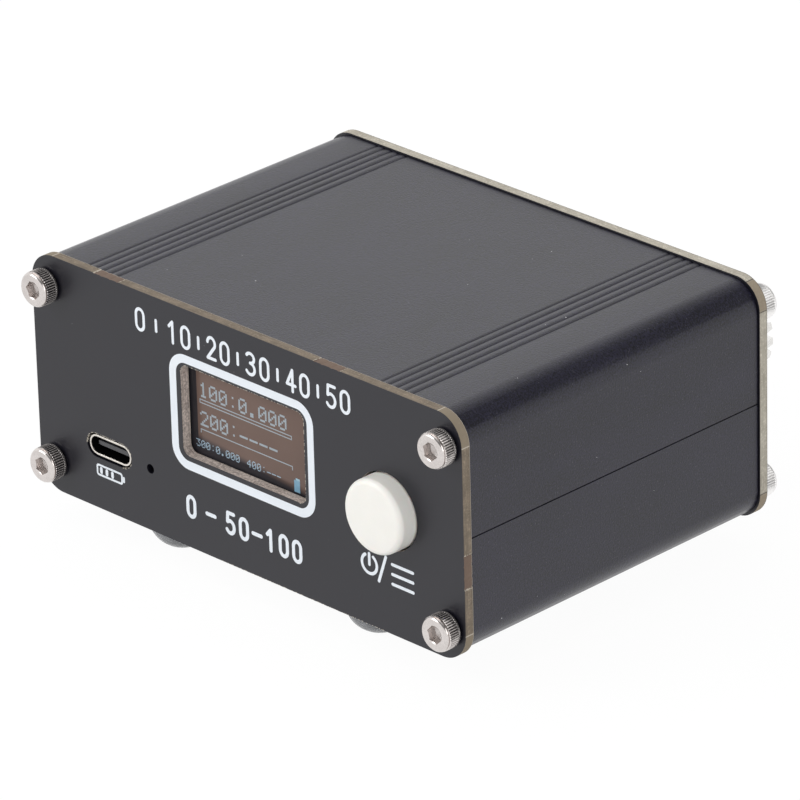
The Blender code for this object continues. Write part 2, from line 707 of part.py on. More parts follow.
def make_feet(kit, part):
    """Four domed rubber feet under the bottom shell."""
    height = FOOT_HEIGHT - FIT
    start = math.asin(FOOT_FLAT_RADIUS / FOOT_RADIUS)
    dome = []
    for step in range(CORNER_STEPS + 1):
        angle = start + (math.pi / 2 - start) * step / CORNER_STEPS
        dome.append((FOOT_RADIUS * math.sin(angle), height * math.cos(angle) / math.cos(start)))
    profile = [(0.0, height), *dome, (0.0, 0.0)]
    for row, forward in (("front", -1), ("rear", 1)):
        for hand, across in (("left", -1), ("right", 1)):
            centre = (across * FOOT_X, CASE_Y + forward * FOOT_Y, height)
            name = f"foot_{row}_{hand}"
            turned(name, profile, False, ROUND, centre, "-Z", kit["rubber"], part)


def make_display(kit, part, helpers):
    """The display's glass, its own board and the header behind it."""
    glass_centre = (GLASS_X, GLASS_FRONT + GLASS_THICKNESS / 2, CASE_Z + GLASS_Z)
    box("display_glass", (GLASS_WIDTH, GLASS_THICKNESS, GLASS_HEIGHT), glass_centre, kit["glass"], part)
    board_z = (DISPLAY_BOARD_BOTTOM + DISPLAY_BOARD_TOP) / 2
    board_height = DISPLAY_BOARD_TOP - DISPLAY_BOARD_BOTTOM
    edge = rectangle((GLASS_X, board_z), DISPLAY_BOARD_WIDTH, board_height)
    pins = pin_places(DISPLAY_PIN_COUNT, GLASS_X)
    holes = [circle((x, DISPLAY_PIN_Z), PIN_HOLE_RADIUS, SMALL_ROUND) for x in pins]
    board_centre = (0.0, DISPLAY_BOARD_FRONT + DISPLAY_BOARD_THICKNESS / 2, CASE_Z)
    outlines = [edge, *holes]
    prism("display_board", outlines, DISPLAY_BOARD_THICKNESS, board_centre, "Y", kit["board"], part)

    strip_y = DISPLAY_BOARD_REAR + FIT + PIN_STRIP_WIDTH / 2
    size = (DISPLAY_PIN_COUNT * PIN_PITCH, PIN_STRIP_WIDTH, PIN_STRIP_WIDTH)
    centre = (GLASS_X, strip_y, CASE_Z + DISPLAY_PIN_Z)
    strip = box("display_header", size, centre, kit["black"], part)
    front, rear = DISPLAY_BOARD_FRONT + FIT, CONTROL_BOARD_REAR + PIN_TAIL
    pin_size = (PIN_WIDTH, rear - front, PIN_WIDTH)
    places = [(pin_size, (x, (front + rear) / 2, CASE_Z + DISPLAY_PIN_Z)) for x in pins]
    join(strip, boxes("display_pins", places, Vector(), kit["brass"], helpers))


def make_angle_header(name, middle, board_face, facing, kit, part, helpers):
    """A right-angle header that joins the main board to an upright board.

    facing is 1 where the upright board lies behind the header, and -1 where it lies in front.
    """
    pins = pin_places(ANGLE_PIN_COUNT, middle)
    strip_y = board_face - facing * (FIT + PIN_STRIP_WIDTH / 2)
    size = (ANGLE_PIN_COUNT * PIN_PITCH, PIN_STRIP_WIDTH, PIN_STRIP_WIDTH)
    strip = box(name, size, (middle, strip_y, CASE_Z + ANGLE_PIN_Z), kit["black"], part)
    tip = facing * (PIN_STRIP_WIDTH / 2 + FIT + BOARD_THICKNESS + PIN_TAIL)
    heel = -facing * (PIN_STRIP_WIDTH / 2 + PIN_WIDTH)
    foot = BOARD_BOTTOM - PIN_TAIL - ANGLE_PIN_Z
    half = PIN_WIDTH / 2
    outline = [
        (tip, half),
        (heel - facing * half, half),
        (heel - facing * half, foot),
        (heel + facing * half, foot),
        (heel + facing * half, -half),
        (tip, -half),
    ]
    for index, x in enumerate(pins):
        centre = (x, strip_y, CASE_Z + ANGLE_PIN_Z)
        pin = prism(f"{name}_pin_{index}", [outline], PIN_WIDTH, centre, "X", kit["brass"], helpers)
        join(strip, as_mesh(pin))


def angle_pin_foot_y(board_face, facing):
    """Where an angle header's pins go down through the main board."""
    return board_face - facing * (FIT + PIN_STRIP_WIDTH + PIN_WIDTH)


def make_control_board(kit, part, helpers):
    """The upright board that carries the display and the switch, and its header."""
    edge = [
        (CONTROL_BOARD_RIGHT, UPRIGHT_BOARD_BOTTOM),
        (CONTROL_BOARD_RIGHT, UPRIGHT_BOARD_TOP),
        (CONTROL_BOARD_LEFT, UPRIGHT_BOARD_TOP),
        (CONTROL_BOARD_LEFT, UPRIGHT_BOARD_BOTTOM),
    ]
    display = [
        circle((x, DISPLAY_PIN_Z), PIN_HOLE_RADIUS, SMALL_ROUND)
        for x in pin_places(DISPLAY_PIN_COUNT, GLASS_X)
    ]
    angled = [
        circle((x, ANGLE_PIN_Z), PIN_HOLE_RADIUS, SMALL_ROUND)
        for x in pin_places(ANGLE_PIN_COUNT, CONTROL_HEADER_X)
    ]
    legs = [
        rectangle((x, z), SWITCH_LEG_THICKNESS + 2 * FIT, SWITCH_LEG_WIDTH + 2 * FIT)
        for x, z in switch_leg_places()
    ]
    centre = (0.0, CONTROL_BOARD_FRONT + BOARD_THICKNESS / 2, CASE_Z)
    outlines = [edge, *display, *angled, *legs]
    prism("control_board", outlines, BOARD_THICKNESS, centre, "Y", kit["board"], part)
    make_angle_header(
        "control_header", CONTROL_HEADER_X, CONTROL_BOARD_REAR, -1, kit, part, helpers
    )


def switch_leg_places():
    """Centres of the switch's four legs, as (x, z) from the middle of the case."""
    return [
        (BUTTON_X + across * SWITCH_LEG_SPACING_X / 2, BUTTON_Z + up * SWITCH_LEG_SPACING_Z / 2)
        for across in (-1, 1)
        for up in (-1, 1)
    ]


def make_switch_body(kit, part, helpers):
    """The switch's case with its round well and four legs through the control board."""
    corner = SWITCH_WIDTH / 2 - SWITCH_CHAMFER
    half = SWITCH_WIDTH / 2
    outline = [
        (half, -corner), (half, corner), (corner, half), (-corner, half),
        (-half, corner), (-half, -corner), (-corner, -half), (corner, -half),
    ]
    centre = (BUTTON_X, (SWITCH_FRONT + SWITCH_REAR) / 2, CASE_Z + BUTTON_Z)
    body = as_mesh(prism("switch_body", [outline], SWITCH_HEIGHT, centre, "Y", kit["black"], part))
    depth = SWITCH_WELL_DEPTH + OVERRUN
    well_centre = (BUTTON_X, SWITCH_FRONT - OVERRUN + depth / 2, CASE_Z + BUTTON_Z)
    well_outline = [circle((0.0, 0.0), SWITCH_WELL_RADIUS, ROUND)]
    well = prism("switch_well_cut", well_outline, depth, well_centre, "Y", kit["black"], helpers)
    cut(body, as_mesh(well))
    front = SWITCH_REAR - SWITCH_HEIGHT / 2
    rear = CONTROL_BOARD_REAR + PIN_TAIL
    inner = SWITCH_WIDTH / 2 - SWITCH_LEG_THICKNESS
    outer = SWITCH_LEG_SPACING_X / 2 + SWITCH_LEG_THICKNESS / 2
    shoulder_size = (outer - inner, SWITCH_LEG_THICKNESS, SWITCH_LEG_WIDTH)
    leg_size = (SWITCH_LEG_THICKNESS, rear - front, SWITCH_LEG_WIDTH)
    shoulders, legs = [], []
    for x, z in switch_leg_places():
        hand = math.copysign(1, x - BUTTON_X)
        shoulder_x = BUTTON_X + hand * (inner + outer) / 2
        shoulder_y = front + SWITCH_LEG_THICKNESS / 2
        shoulders.append((shoulder_size, (shoulder_x, shoulder_y, CASE_Z + z)))
        legs.append((leg_size, (x, (front + rear) / 2, CASE_Z + z)))
    join(body, boxes("switch_leg_shoulders", shoulders, Vector(), kit["steel"], helpers))
    join(body, boxes("switch_legs", legs, Vector(), kit["steel"], helpers))
    smooth(body)


def make_button(kit, part, helpers):
    """The push button's cap and the switch's plunger, which travel together along Y."""
    travel = bpy.data.objects.new("button_travel", None)
    travel.location = (BUTTON_X, FRONT_FACE_Y - BUTTON_PROUD, CASE_Z + BUTTON_Z)
    part.objects.link(travel)

    edge = arc(
        (BUTTON_RADIUS - BUTTON_EDGE_RADIUS, -BUTTON_EDGE_RADIUS),
        BUTTON_EDGE_RADIUS, math.pi / 2, 0.0, EDGE_STEPS,
    )
    boss_end = PLUNGER_STEM_FRONT + PLUNGER_STEM_LENGTH / 2 - travel.location.y
    profile = [
        (0.0, 0.0),
        *edge,
        (BUTTON_RADIUS, -BUTTON_LENGTH),
        (BUTTON_RADIUS - BUTTON_WALL, -BUTTON_LENGTH),
        (BUTTON_RADIUS - BUTTON_WALL, -BUTTON_WALL),
        (BUTTON_BOSS_RADIUS, -BUTTON_WALL),
        (BUTTON_BOSS_RADIUS, -boss_end),
        (0.0, -boss_end),
    ]
    cap = turned("button_cap", profile, False, LARGE_ROUND, Vector(), "-Y", kit["white"], part)
    pocket_width = PLUNGER_STEM_WIDTH + 2 * FIT
    pocket_front = PLUNGER_STEM_FRONT - FIT - travel.location.y
    pocket_rear = boss_end + OVERRUN
    pocket_size = (pocket_width, pocket_rear - pocket_front, pocket_width)
    pocket_centre = (0.0, (pocket_front + pocket_rear) / 2, 0.0)
    pocket = box("button_pocket_cut", pocket_size, pocket_centre, kit["white"], helpers)
    cut(cap, pocket)

    disc_radius = SWITCH_WELL_RADIUS - FIT
    disc_y = PLUNGER_REAR - PLUNGER_DISC_THICKNESS / 2 - travel.location.y
    disc_outline = [circle((0.0, 0.0), disc_radius, ROUND)]
    plunger = as_mesh(
        prism(
            "switch_plunger", disc_outline, PLUNGER_DISC_THICKNESS, (0.0, disc_y, 0.0), "Y",
            kit["black"], part,
        )
    )
    stem_front = PLUNGER_STEM_FRONT - travel.location.y
    stem_rear = disc_y
    stem_size = (PLUNGER_STEM_WIDTH, stem_rear - stem_front, PLUNGER_STEM_WIDTH)
    stem_centre = (0.0, (stem_front + stem_rear) / 2, 0.0)
    stem = box("plunger_stem", stem_size, stem_centre, kit["black"], helpers)
    join(plunger, stem)
    for piece in (cap, pocket, plunger, stem):
        piece.parent = travel


def make_port(kit, part, helpers):
    """The charging port's shell, and the tongue on its base inside the shell."""
    inner_width, inner_height = USB_WIDTH - 2 * USB_METAL, USB_HEIGHT - 2 * USB_METAL
    outer = slot((0.0, 0.0), USB_WIDTH, USB_HEIGHT)
    inner = slot((0.0, 0.0), inner_width, inner_height)
    centre = (USB_X, USB_MOUTH_Y + USB_LENGTH / 2, CASE_Z + USB_Z)
    prism("usb_shell", [outer, inner], USB_LENGTH, centre, "Y", kit["steel"], part)

    base_width, base_height = inner_width - 2 * FIT, inner_height - 2 * FIT
    base_outline = [slot((0.0, 0.0), base_width, base_height)]
    rear = USB_MOUTH_Y + USB_LENGTH
    base_centre = (USB_X, rear - USB_BASE_LENGTH / 2, CASE_Z + USB_Z)
    base = as_mesh(
        prism("usb_tongue", base_outline, USB_BASE_LENGTH, base_centre, "Y", kit["black"], part)
    )
    tip = USB_MOUTH_Y + USB_TONGUE_SETBACK
    tongue_rear = rear - USB_BASE_LENGTH / 2
    tongue_size = (USB_TONGUE_WIDTH, tongue_rear - tip, USB_TONGUE_THICKNESS)
    tongue_centre = (USB_X, (tip + tongue_rear) / 2, CASE_Z + USB_Z)
    join(base, box("tongue_blade", tongue_size, tongue_centre, kit["black"], helpers))


def make_charge_light(kit, part):
    """The small light on the main board, behind its pinhole."""
    size = (LIGHT_WIDTH, LIGHT_DEPTH, LIGHT_HEIGHT)
    centre = (
        LIGHT_X,
        MAIN_BOARD_FRONT + LIGHT_DEPTH / 2,
        CASE_Z + BOARD_TOP + FIT + LIGHT_HEIGHT / 2,
    )
    box("charge_light", size, centre, kit["white"], part)


def make_main_board(kit, part):
    """The board in the bottom shell's slots, notched at the front round the charging port."""
    half = MAIN_BOARD_WIDTH / 2
    notch = USB_WIDTH / 2 + FIT
    notch_end = USB_MOUTH_Y + USB_LENGTH + FIT - MAIN_BOARD_FRONT
    edge = [
        (half, 0.0),
        (half, MAIN_BOARD_LENGTH),
        (-half, MAIN_BOARD_LENGTH),
        (-half, 0.0),
        (USB_X - notch, 0.0),
        (USB_X - notch, notch_end),
        (USB_X + notch, notch_end),
        (USB_X + notch, 0.0),
    ]
    feet = (
        (CONTROL_HEADER_X, angle_pin_foot_y(CONTROL_BOARD_REAR, -1)),
        (COUPLER_HEADER_X, angle_pin_foot_y(COUPLER_BOARD_FRONT, 1)),
    )
    holes = [
        circle((x, row - MAIN_BOARD_FRONT), PIN_HOLE_RADIUS, SMALL_ROUND)
        for middle, row in feet
        for x in pin_places(ANGLE_PIN_COUNT, middle)
    ]
    centre = (0.0, MAIN_BOARD_FRONT, CASE_Z + BOARD_TOP - BOARD_THICKNESS / 2)
    prism("main_board", [edge, *holes], BOARD_THICKNESS, centre, "Z", kit["board"], part)


def make_chip(name, size, pitch, leads, place_on_board, kit, part, helpers):
    """A chip with leads on two sides, on the main board.

    Its place is a distance across from the middle, and a share of the board's length.
    """
    depth, height = size[1], size[2]
    x, y = place_on_board[0], MAIN_BOARD_FRONT + place_on_board[1] * MAIN_BOARD_LENGTH
    lead_z = CASE_Z + BOARD_TOP + FIT + CHIP_LEAD_THICKNESS / 2
    body = box(name, size, (x, y, lead_z + height / 2), kit["black"], part)
    lead_size = (pitch / 2, depth + 2 * CHIP_LEAD_LENGTH, CHIP_LEAD_THICKNESS)
    first = -(leads - 1) / 2 * pitch
    places = [(lead_size, (first + index * pitch, 0.0, 0.0)) for index in range(leads)]
    join(body, boxes(f"{name}_leads", places, (x, y, lead_z), kit["steel"], helpers))


def make_chips(kit, part, helpers):
    """The processor, the charger and the regulator."""
    make_chip(
        "microcontroller", (MICRO_WIDTH, MICRO_DEPTH, MICRO_HEIGHT), MICRO_PITCH, MICRO_LEADS,
        (MICRO_X, MICRO_DEPTH_SHARE), kit, part, helpers,
    )
    make_chip(
        "charger_chip", (CHARGER_WIDTH, CHARGER_DEPTH, CHARGER_HEIGHT), CHARGER_PITCH,
        CHARGER_LEADS, (POWER_X, CHARGER_DEPTH_SHARE), kit, part, helpers,
    )
    make_chip(
        "voltage_regulator", (REGULATOR_WIDTH, REGULATOR_DEPTH, REGULATOR_HEIGHT),
        REGULATOR_PITCH, REGULATOR_LEADS, (POWER_X, REGULATOR_DEPTH_SHARE), kit, part, helpers,
    )


def make_battery(kit, part):
    """The cell on the main board, its plug and the two leads between them."""
    seat = CASE_Z + BOARD_TOP + FIT
    size = (CELL_WIDTH, CELL_REAR - CELL_FRONT, CELL_HEIGHT)
    centre = (CELL_X, (CELL_FRONT + CELL_REAR) / 2, seat + CELL_HEIGHT / 2)
    cell = box("battery_cell", size, centre, kit["cell"], part)
    rounding = cell.modifiers.new("rounded_edges", "BEVEL")
    rounding.width = CELL_EDGE_RADIUS
    rounding.segments = EDGE_STEPS // 2
    plug_y = MAIN_BOARD_FRONT + PLUG_DEPTH_SHARE * MAIN_BOARD_LENGTH
    plug_size = (PLUG_WIDTH, PLUG_DEPTH, PLUG_HEIGHT)
    box("battery_plug", plug_size, (POWER_X, plug_y, seat + PLUG_HEIGHT / 2), kit["white"], part)

    start_x = POWER_X + PLUG_WIDTH / 2 + FIT
    end_x = CELL_X - CELL_WIDTH / 2 - FIT
    end_y = CELL_REAR - CELL_EDGE_RADIUS - LEAD_RADIUS - LEAD_SPACING / 2
    high = seat + CELL_HEIGHT / 2
    for name, finish, side in (("red", kit["red"], 1), ("black", kit["black"], -1)):
        offset = side * LEAD_SPACING / 2
        points = []
        for index in range(LEAD_STEPS + 1):
            share = index / LEAD_STEPS
            ease = (1 - math.cos(math.pi * share)) / 2
            y = plug_y + (end_y - plug_y) * ease + offset
            points.append((start_x + (end_x - start_x) * share, y, high))
        tube(f"battery_lead_{name}", points, LEAD_RADIUS, finish, part)


def make_socket_body(name, x, kit, part):
    """One coaxial socket's metal body, its rim cut into teeth.

    Every second point of the rim drops by the depth of a tooth.
    """
    rim = REAR_FACE_Y + SOCKET_REACH
    flange_high = INSIDE_REAR_Y - FIT - rim
    flange_low = flange_high - SOCKET_FLANGE_THICKNESS
    neck_low = flange_low - SOCKET_NECK_LENGTH
    profile = [
        (SOCKET_BORE_RADIUS, 0.0),
        (SOCKET_THREAD_RADIUS - SOCKET_RIM_CHAMFER, 0.0),
        (SOCKET_THREAD_RADIUS, -SOCKET_TOOTH_DEPTH - SOCKET_RIM_CHAMFER),
        (SOCKET_THREAD_RADIUS, flange_high),
        (SOCKET_FLANGE_RADIUS, flange_high),
        (SOCKET_FLANGE_RADIUS, flange_low),
        (SOCKET_NECK_RADIUS, flange_low),
        (SOCKET_NECK_RADIUS, neck_low),
        (SOCKET_STEP_RADIUS, neck_low),
        (SOCKET_STEP_RADIUS, -SOCKET_BORE_DEPTH),
        (SOCKET_BORE_RADIUS, -SOCKET_BORE_DEPTH),
    ]
    centre = (x, rim, CASE_Z)
    sides = 2 * SOCKET_TEETH
    body = as_mesh(turned(name, profile, True, sides, centre, "+Y", kit["steel"], part))
    for vertex in body.data.vertices:
        turn = math.atan2(vertex.co.y, vertex.co.x) / (2 * math.pi) * sides
        if abs(vertex.co.z) < SEAM_MERGE and round(turn) % 2:
            vertex.co.z -= SOCKET_TOOTH_DEPTH
    return smooth(body)


def make_socket_insides(name, x, kit, part, helpers):
    """A socket's insulator, and its slotted centre contact with a tail through the coupler board."""
    rim = REAR_FACE_Y + SOCKET_REACH
    floor = rim - SOCKET_BORE_DEPTH
    neck = INSIDE_REAR_Y - FIT - SOCKET_FLANGE_THICKNESS - SOCKET_NECK_LENGTH
    head_radius = SOCKET_BORE_RADIUS - FIT
    shank_radius = SOCKET_STEP_RADIUS - FIT
    bore = CONTACT_RADIUS + FIT
    insulator_profile = [
        (bore, FIT + INSULATOR_HEAD_LENGTH),
        (head_radius, FIT + INSULATOR_HEAD_LENGTH),
        (head_radius, FIT),
        (shank_radius, FIT),
        (shank_radius, neck - floor),
        (bore, neck - floor),
    ]
    turned(
        f"{name}_insulator", insulator_profile, True, ROUND, (x, floor, CASE_Z), "+Y",
        kit["insulator"], part,
    )
    mouth = rim - CONTACT_SETBACK
    contact_profile = [
        (0.0, -CONTACT_BORE_DEPTH),
        (CONTACT_BORE_RADIUS, -CONTACT_BORE_DEPTH),
        (CONTACT_BORE_RADIUS, 0.0),
        (CONTACT_RADIUS, 0.0),
        (CONTACT_RADIUS, neck - mouth),
        (CONTACT_TAIL_RADIUS, neck - mouth),
        (CONTACT_TAIL_RADIUS, CONTACT_TAIL_FRONT - mouth),
        (0.0, CONTACT_TAIL_FRONT - mouth),
    ]
    contact = turned(
        f"{name}_contact", contact_profile, False, ROUND, (x, mouth, CASE_Z), "+Y",
        kit["brass"], part,
    )
    contact = as_mesh(contact)
    depth = CONTACT_SLOT_DEPTH + OVERRUN
    slot_y = mouth + OVERRUN - depth / 2
    across = 2 * (CONTACT_RADIUS + OVERRUN)
    for label, size in (
        ("flat", (across, depth, CONTACT_SLOT_WIDTH)),
        ("upright", (CONTACT_SLOT_WIDTH, depth, across)),
    ):
        slot = box(f"{name}_{label}_slot_cut", size, (x, slot_y, CASE_Z), kit["brass"], helpers)
        cut(contact, slot)
    smooth(contact)


def make_socket_fasteners(name, x, kit, part):
    """The toothed washer and the nut that hold a socket from outside the rear panel."""
    hole = SOCKET_THREAD_RADIUS + FIT
    washer_y = REAR_FACE_Y + FIT + WASHER_THICKNESS / 2
    washer_outlines = [
        circle((0.0, 0.0), WASHER_RADIUS, LARGE_ROUND),
        toothed_ring((0.0, 0.0), hole + WASHER_TOOTH_DEPTH, hole, WASHER_TEETH),
    ]
    prism(
        f"{name}_washer", washer_outlines, WASHER_THICKNESS, (x, washer_y, CASE_Z), "Y",
        kit["steel"], part,
    )
    nut_y = REAR_FACE_Y + 2 * FIT + WASHER_THICKNESS + NUT_THICKNESS / 2
    nut_outlines = [hexagon((0.0, 0.0), NUT_WIDTH), circle((0.0, 0.0), hole, LARGE_ROUND)]
    prism(f"{name}_nut", nut_outlines, NUT_THICKNESS, (x, nut_y, CASE_Z), "Y", kit["steel"], part)


def make_sockets(kit, part, helpers):
    """The input socket and the antenna socket."""
    for name, x in (("input", -SOCKET_X), ("antenna", SOCKET_X)):
        make_socket_body(f"{name}_socket", x, kit, part)
        make_socket_insides(name, x, kit, part, helpers)
        make_socket_fasteners(name, x, kit, part)


def make_coupler_board(kit, part, helpers):
    """The upright radio board on the sockets' contacts, and its header."""
    edge = [
        (COUPLER_BOARD_HALF, UPRIGHT_BOARD_BOTTOM),
        (COUPLER_BOARD_HALF, UPRIGHT_BOARD_TOP),
        (-COUPLER_BOARD_HALF, UPRIGHT_BOARD_TOP),
        (-COUPLER_BOARD_HALF, UPRIGHT_BOARD_BOTTOM),
    ]
    tails = [
        circle((x, 0.0), CONTACT_TAIL_RADIUS + FIT, ROUND) for x in (SOCKET_X, -SOCKET_X)
    ]
    angled = [
        circle((x, ANGLE_PIN_Z), PIN_HOLE_RADIUS, SMALL_ROUND)
        for x in pin_places(ANGLE_PIN_COUNT, COUPLER_HEADER_X)
    ]
    centre = (0.0, COUPLER_BOARD_FRONT + BOARD_THICKNESS / 2, CASE_Z)
    prism("coupler_board", [edge, *tails, *angled], BOARD_THICKNESS, centre, "Y", kit["board"], part)
    make_angle_header(
        "coupler_header", COUPLER_HEADER_X, COUPLER_BOARD_FRONT, 1, kit, part, helpers
    )


def through_line_points():
    """The line from one contact's tail forward, across the case and back to the other tail."""
    bend = LINE_BEND_RADIUS
    end_y = CONTACT_TAIL_FRONT - FIT
    left = arc((bend - SOCKET_X, LINE_Y + bend), bend, math.pi, 1.5 * math.pi, EDGE_STEPS)
    right = arc((SOCKET_X - bend, LINE_Y + bend), bend, 1.5 * math.pi, 2 * math.pi, EDGE_STEPS)
    flat = [(-SOCKET_X, end_y), *left, *right, (SOCKET_X, end_y)]
    return [(x, y, CASE_Z) for x, y in flat]


def winding_points():
    """One unbroken wire round the ring core, whose axis is X, with both leads pointing rearwards.

    Each loop goes round the core's section at a steady clearance while it steps round the ring.
    """
    reach = FIT + WIRE_RADIUS
    outer, inner = CORE_OUTER_RADIUS + reach, CORE_INNER_RADIUS - reach
    side = CORE_LENGTH / 2 + reach
    corner = reach * (2 - math.sqrt(2))
    loop = [
        (outer, side - corner),
        (outer - corner, side),
        (inner + corner, side),
        (inner, side - corner),
        (inner, corner - side),
        (inner + corner, -side),
        (outer - corner, -side),
        (outer, corner - side),
    ]
    steps = WINDING_TURNS * len(loop)
    lead_y = COUPLER_BOARD_FRONT - FIT
    points = []
    for step in range(steps + 1):
        radius, along = loop[step % len(loop)]
        angle = WINDING_SPREAD * (step / steps - 0.5) + math.pi
        points.append((along, LINE_Y + radius * math.cos(angle), CASE_Z + radius * math.sin(angle)))
    first, last = points[0], points[-1]
    return [(first[0], lead_y, first[2]), *points, (last[0], lead_y, last[2])]


def least_gap(points, radius, skipped):
    """The least gap between a wire and itself, leaving out each point's next few neighbours."""
    places = [Vector(point) for point in points]
    nearest = min(
        (places[j] - places[i]).length
        for i in range(len(places))
        for j in range(i + skipped, len(places))
    )
    return nearest - 2 * radius


def make_current_transformer(kit, part):
    """The line between the sockets, and the wound ring core that it passes through."""
    line = through_line_points()
    tube("through_line", line, THROUGH_LINE_RADIUS, kit["white"], part)
    half = CORE_LENGTH / 2
    profile = [
        (CORE_INNER_RADIUS, half - CORE_CHAMFER),
        (CORE_INNER_RADIUS + CORE_CHAMFER, half),
        (CORE_OUTER_RADIUS - CORE_CHAMFER, half),
        (CORE_OUTER_RADIUS, half - CORE_CHAMFER),
        (CORE_OUTER_RADIUS, CORE_CHAMFER - half),
        (CORE_OUTER_RADIUS - CORE_CHAMFER, -half),
        (CORE_INNER_RADIUS + CORE_CHAMFER, -half),
        (CORE_INNER_RADIUS, CORE_CHAMFER - half),
    ]
    turned("current_core", profile, True, ROUND, (0.0, LINE_Y, CASE_Z), "+X", kit["ferrite"], part)
    points = winding_points()
    tube("current_winding", points, WIRE_RADIUS, kit["copper"], part)
    gap = least_gap(points, WIRE_RADIUS, WINDING_NEIGHBOURS)
    print(f"current winding: least gap to itself is {gap / WIRE_RADIUS:.2f} wire radii")


def make_detector(kit, part, helpers):
    """The two diodes and the balance trimmer on the front of the coupler board."""
    spread = DIODE_SPREAD_SHARE * SOCKET_X
    half = DIODE_LENGTH / 2
    end = half + DIODE_LEAD_LENGTH
    profile = [
        (0.0, end),
        (DIODE_LEAD_RADIUS, end),
        (DIODE_LEAD_RADIUS, half),
        (DIODE_RADIUS, half),
        (DIODE_RADIUS, -half),
        (DIODE_LEAD_RADIUS, -half),
        (DIODE_LEAD_RADIUS, -end),
        (0.0, -end),
    ]
    diode_y = COUPLER_BOARD_FRONT - FIT - DIODE_RADIUS
    for name, side in (("forward", -1), ("reflected", 1)):
        centre = (side * spread, diode_y, CASE_Z + DIODE_Z)
        turned(f"{name}_diode", profile, False, SMALL_ROUND, centre, "+X", kit["red"], part)

    trimmer_profile = [
        (0.0, TRIMMER_HEIGHT),
        (TRIMMER_STEP_RADIUS, TRIMMER_HEIGHT),
        (TRIMMER_STEP_RADIUS, TRIMMER_HEIGHT - TRIMMER_STEP_HEIGHT),
        (TRIMMER_RADIUS, TRIMMER_HEIGHT - TRIMMER_STEP_HEIGHT),
        (TRIMMER_RADIUS, 0.0),
        (0.0, 0.0),
    ]
    seat = COUPLER_BOARD_FRONT - FIT
    centre = (spread, seat, CASE_Z)
    trimmer = turned(
        "balance_trimmer", trimmer_profile, False, ROUND, centre, "-Y", kit["white"], part
    )
    slot_size = (
        2 * (TRIMMER_STEP_RADIUS + OVERRUN), TRIMMER_SLOT_DEPTH + OVERRUN, TRIMMER_SLOT_WIDTH
    )
    slot_y = seat - TRIMMER_HEIGHT + TRIMMER_SLOT_DEPTH - slot_size[1] / 2
    cut(trimmer, box("trimmer_slot_cut", slot_size, (spread, slot_y, CASE_Z), kit["white"], helpers))


def main():
    """Clears the scene and builds the meter."""
    for obj in list(bpy.data.objects):
        bpy.data.objects.remove(obj)
    part = new_collection("swr_meter")
    helpers = new_collection("cutters", hidden=True)
    kit = make_materials()
    make_shells(kit, part)
    make_panels(kit, part)
    make_panel_screws(kit, part, helpers)
    make_feet(kit, part)
    make_display(kit, part, helpers)
    make_control_board(kit, part, helpers)
    make_switch_body(kit, part, helpers)
    make_button(kit, part, helpers)
    make_port(kit, part, helpers)
    make_charge_light(kit, part)
    make_main_board(kit, part)
    make_chips(kit, part, helpers)
    make_battery(kit, part)
    make_sockets(kit, part, helpers)
    make_coupler_board(kit, part, helpers)
    make_current_transformer(kit, part)
    make_detector(kit, part, helpers)


main()
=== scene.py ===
"""The finished look of a small power and standing-wave meter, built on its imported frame.

Lengths are in metres, in the frame's axes: X to the right, Y to the rear and Z up.
"""

import json
import logging
import math
from collections.abc import Callable, Mapping, Sequence
from dataclasses import dataclass, field, replace
from enum import Enum

import bmesh
import bpy
from mathutils import Matrix, Vector
from mathutils.geometry import delaunay_2d_cdt

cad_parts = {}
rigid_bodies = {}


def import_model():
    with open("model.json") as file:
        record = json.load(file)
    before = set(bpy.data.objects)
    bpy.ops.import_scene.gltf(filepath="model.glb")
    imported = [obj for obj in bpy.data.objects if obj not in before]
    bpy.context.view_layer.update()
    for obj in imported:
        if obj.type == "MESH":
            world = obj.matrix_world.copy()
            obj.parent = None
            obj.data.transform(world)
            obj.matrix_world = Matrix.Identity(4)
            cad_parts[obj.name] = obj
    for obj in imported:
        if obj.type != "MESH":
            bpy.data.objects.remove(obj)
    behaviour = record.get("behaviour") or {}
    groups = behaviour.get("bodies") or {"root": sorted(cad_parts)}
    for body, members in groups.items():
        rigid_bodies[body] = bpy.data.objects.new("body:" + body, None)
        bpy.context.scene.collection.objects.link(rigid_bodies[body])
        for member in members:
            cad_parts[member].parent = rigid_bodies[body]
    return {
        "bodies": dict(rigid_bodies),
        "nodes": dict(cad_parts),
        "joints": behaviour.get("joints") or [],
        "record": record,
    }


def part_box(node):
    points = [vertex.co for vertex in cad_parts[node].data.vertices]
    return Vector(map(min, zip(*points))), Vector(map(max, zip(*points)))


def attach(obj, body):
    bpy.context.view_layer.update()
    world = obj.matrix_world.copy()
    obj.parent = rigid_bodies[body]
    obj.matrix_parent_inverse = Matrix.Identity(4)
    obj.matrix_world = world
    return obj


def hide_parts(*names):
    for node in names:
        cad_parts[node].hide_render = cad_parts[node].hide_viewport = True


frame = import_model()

log = logging.getLogger("swr_meter")

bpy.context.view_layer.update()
MM = 0.001
MERGE = 0.0005 * MM
FLAT_FACE_WEIGHT = 90

Point = tuple[float, float]
Place = tuple[float, float, float]
Colour = tuple[float, float, float]
Outline = list[Point]
Along = float | Callable[[float], float]


